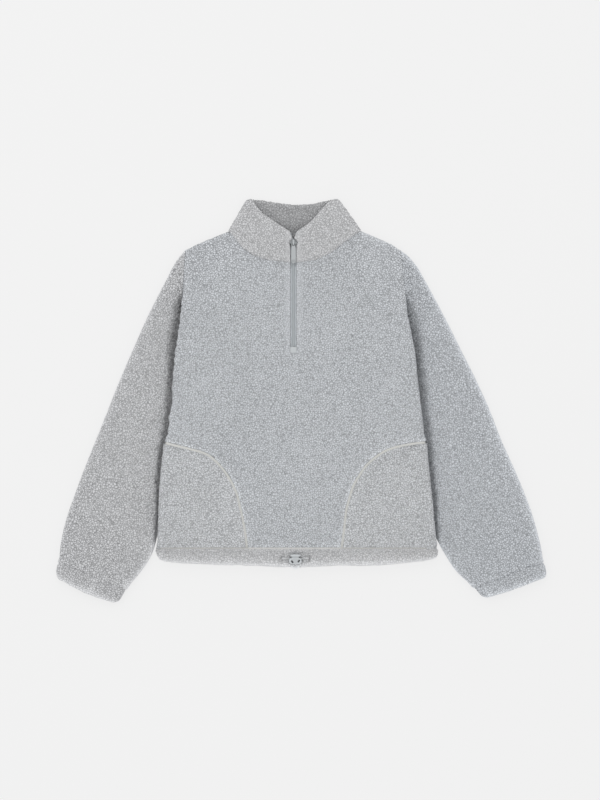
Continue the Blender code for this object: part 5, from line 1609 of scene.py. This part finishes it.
# %% Cord lock
LOCK_SLOTS = ((-5.0, -1.3, 35.0), (5.9, -0.1, -35.0))      # x, y, degrees turned
SLOT_HALF = (2.5, 1.4)
SLOT_DEPTH, BORE_FLOOR = 2.6, 2.6
BUTTON_HALF = np.array([8.2, 1.75, 3.7])
BUTTON_Y, STEM_Y = -256.2, -258.6
STEM_HALF = np.array([6.4, 2.0, 3.4])


def make_lock():
    """Barrel: squared-oval rings along a profile, with a rim, two pressed slots in its
    face and a bore in its upper side for the button's stem."""
    c, s = squared(full_turn(128), 0.72)
    profile = smooth_line([(0.02, -1.0), (0.6, -1.0), (0.88, -0.96), (0.98, -0.7), (1.0, -0.2),
                           (1.0, 0.3), (0.98, 0.72), (0.93, 0.93), (0.86, 1.0), (0.8, 0.97),
                           (0.76, 0.9), (0.6, 0.9), (0.4, 0.91), (0.2, 0.92), (0.02, 0.92)], 90)
    ring, level = profile[:, :1], profile[:, 1:]
    x, y = ring * c[None, :] * LOCK_HALF[0], ring * s[None, :] * LOCK_HALF[1]
    slot = np.zeros_like(x)
    for at_x, at_y, degrees in LOCK_SLOTS:
        c, s = np.cos(np.radians(degrees)), np.sin(np.radians(degrees))
        along, across = (y - at_y) * c - (x - at_x) * s, (x - at_x) * c + (y - at_y) * s
        slot = np.maximum(slot, ease((SLOT_HALF[0] - np.abs(along)) / 0.5)
                          * ease((SLOT_HALF[1] - np.abs(across)) / 0.4))
    slot = slot * (level > 0.5)
    z = level * LOCK_HALF[2] - SLOT_DEPTH * slot
    bore = (np.abs(x) < STEM_HALF[0] + 0.6) & (np.abs(z) < STEM_HALF[2] + 0.3)
    y = np.where(bore, np.minimum(y, BORE_FLOOR), y)
    grid = np.stack([x, y, z], axis=-1) + LOCK_CENTRE
    # Painted highlight on the barrel's rim and painted shade in its slots.
    tone = (0.97 + 0.22 * ease((ring - 0.72) / 0.1)) * (1.0 - 0.75 * slot)
    obj = add_piece("cord_lock_barrel", grid, capped(grid), tone.ravel(), MOULDED)
    recalculate(obj)
    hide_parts("cord_lock")
    return obj


def pillow(half, power):
    """A squared ball: every ring is a squared oval, and so is its profile."""
    tilt = np.linspace(-np.pi / 2 + 0.02, np.pi / 2 - 0.02, 26)[:, None]
    ring, level = squared(tilt, power)
    c, s = squared(full_turn(48)[None, :], power)
    return np.stack(np.broadcast_arrays(ring * c * half[0], ring * s * half[1],
                                        level * half[2]), axis=-1)


def make_button():
    """Button: a squared bar with grip lines, on a stem that goes into the barrel."""
    cap = pillow(BUTTON_HALF, 0.45)
    cap[..., 2] -= 0.22 * groove(np.abs(cap[..., 0]) - 3.0, 0.5) * (cap[..., 2] > 2.0)
    cap = cap + np.array([LOCK_CENTRE[0], BUTTON_Y, LOCK_CENTRE[2]])
    stem = pillow(STEM_HALF, 0.3)
    stem = stem + np.array([LOCK_CENTRE[0], STEM_Y, LOCK_CENTRE[2]])
    points = np.concatenate([cap.reshape(-1, 3), stem.reshape(-1, 3)])
    faces = capped(cap) + capped(stem, cap[..., 0].size)
    # Painted light: the cap lighter, and the stem darker as painted shade in the gap between cap
    # and barrel.
    tone = np.repeat([1.12, 0.9], [cap[..., 0].size, stem[..., 0].size])
    obj = add_piece("cord_lock_button", points, faces, tone, MOULDED, body="plunger")
    recalculate(obj)
    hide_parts("lock_plunger")
    return obj


cord_lock_barrel = make_lock()
cord_lock_button = make_button()

# %% [markdown]
# ## Sewing
#
# Topstitching runs beside the zip, across below its patch and round the buttonholes.
# A stitch is a short round-ended bar of thread; the machine sets thousands, so one bar
# is made once and set out along each seam.

# %% Sewing
STITCH_PITCH = 3.2
STITCHES_TOP = 229.0
STITCH_SINK = 1.75         # below the front's outer face
LIP = 0.9                  # of a buttonhole, outside its opening


def along_line(points, pitch):
    """Places and headings every pitch along a line in plan."""
    points = np.asarray(points, float)
    run = run_along(points)
    at = np.arange(pitch / 2, run[-1], pitch)
    x, y = (np.interp(at, run, points[:, k]) for k in range(2))
    ahead = [np.interp(at + 0.2, run, points[:, k]) for k in range(2)]
    back = [np.interp(at - 0.2, run, points[:, k]) for k in range(2)]
    return x, y, np.arctan2(ahead[1] - back[1], ahead[0] - back[0])


def sew_front():
    """Stitches in the grooves beside the zip and below it."""
    left, right = ZIP_X - ZIP_STITCHES, ZIP_X + ZIP_STITCHES
    x, y, turn = along_line([(left, STITCHES_TOP), (left, CROSS_STITCHES),
                             (right, CROSS_STITCHES), (right, STITCHES_TOP)], STITCH_PITCH)
    z = front_at(x, y)[..., 2] - STITCH_SINK
    unit, faces = bar(2.5, 0.28)
    set_out("zip_topstitching", unit, faces, np.column_stack([x, y, z]), turn, 1.0, THREAD)


def sew_buttonholes():
    """Thread bars across the lip of each buttonhole, close together."""
    unit, faces = bar(2.3, 0.3)
    turn = full_turn(44)
    places, turns = [], []
    for x, y in EYELETS:
        places.append(np.column_stack([x + np.cos(turn) * (EYELET_HALF[0] + LIP),
                                       y + np.sin(turn) * (EYELET_HALF[1] + LIP),
                                       np.full(len(turn), HEM_LOFT - 0.45)]))
        turns.append(np.arctan2(np.sin(turn) / EYELET_HALF[1], np.cos(turn) / EYELET_HALF[0]))
    set_out("buttonhole_stitches", unit, faces, np.concatenate(places),
            np.concatenate(turns), 0.9, THREAD)


sew_front()
sew_buttonholes()
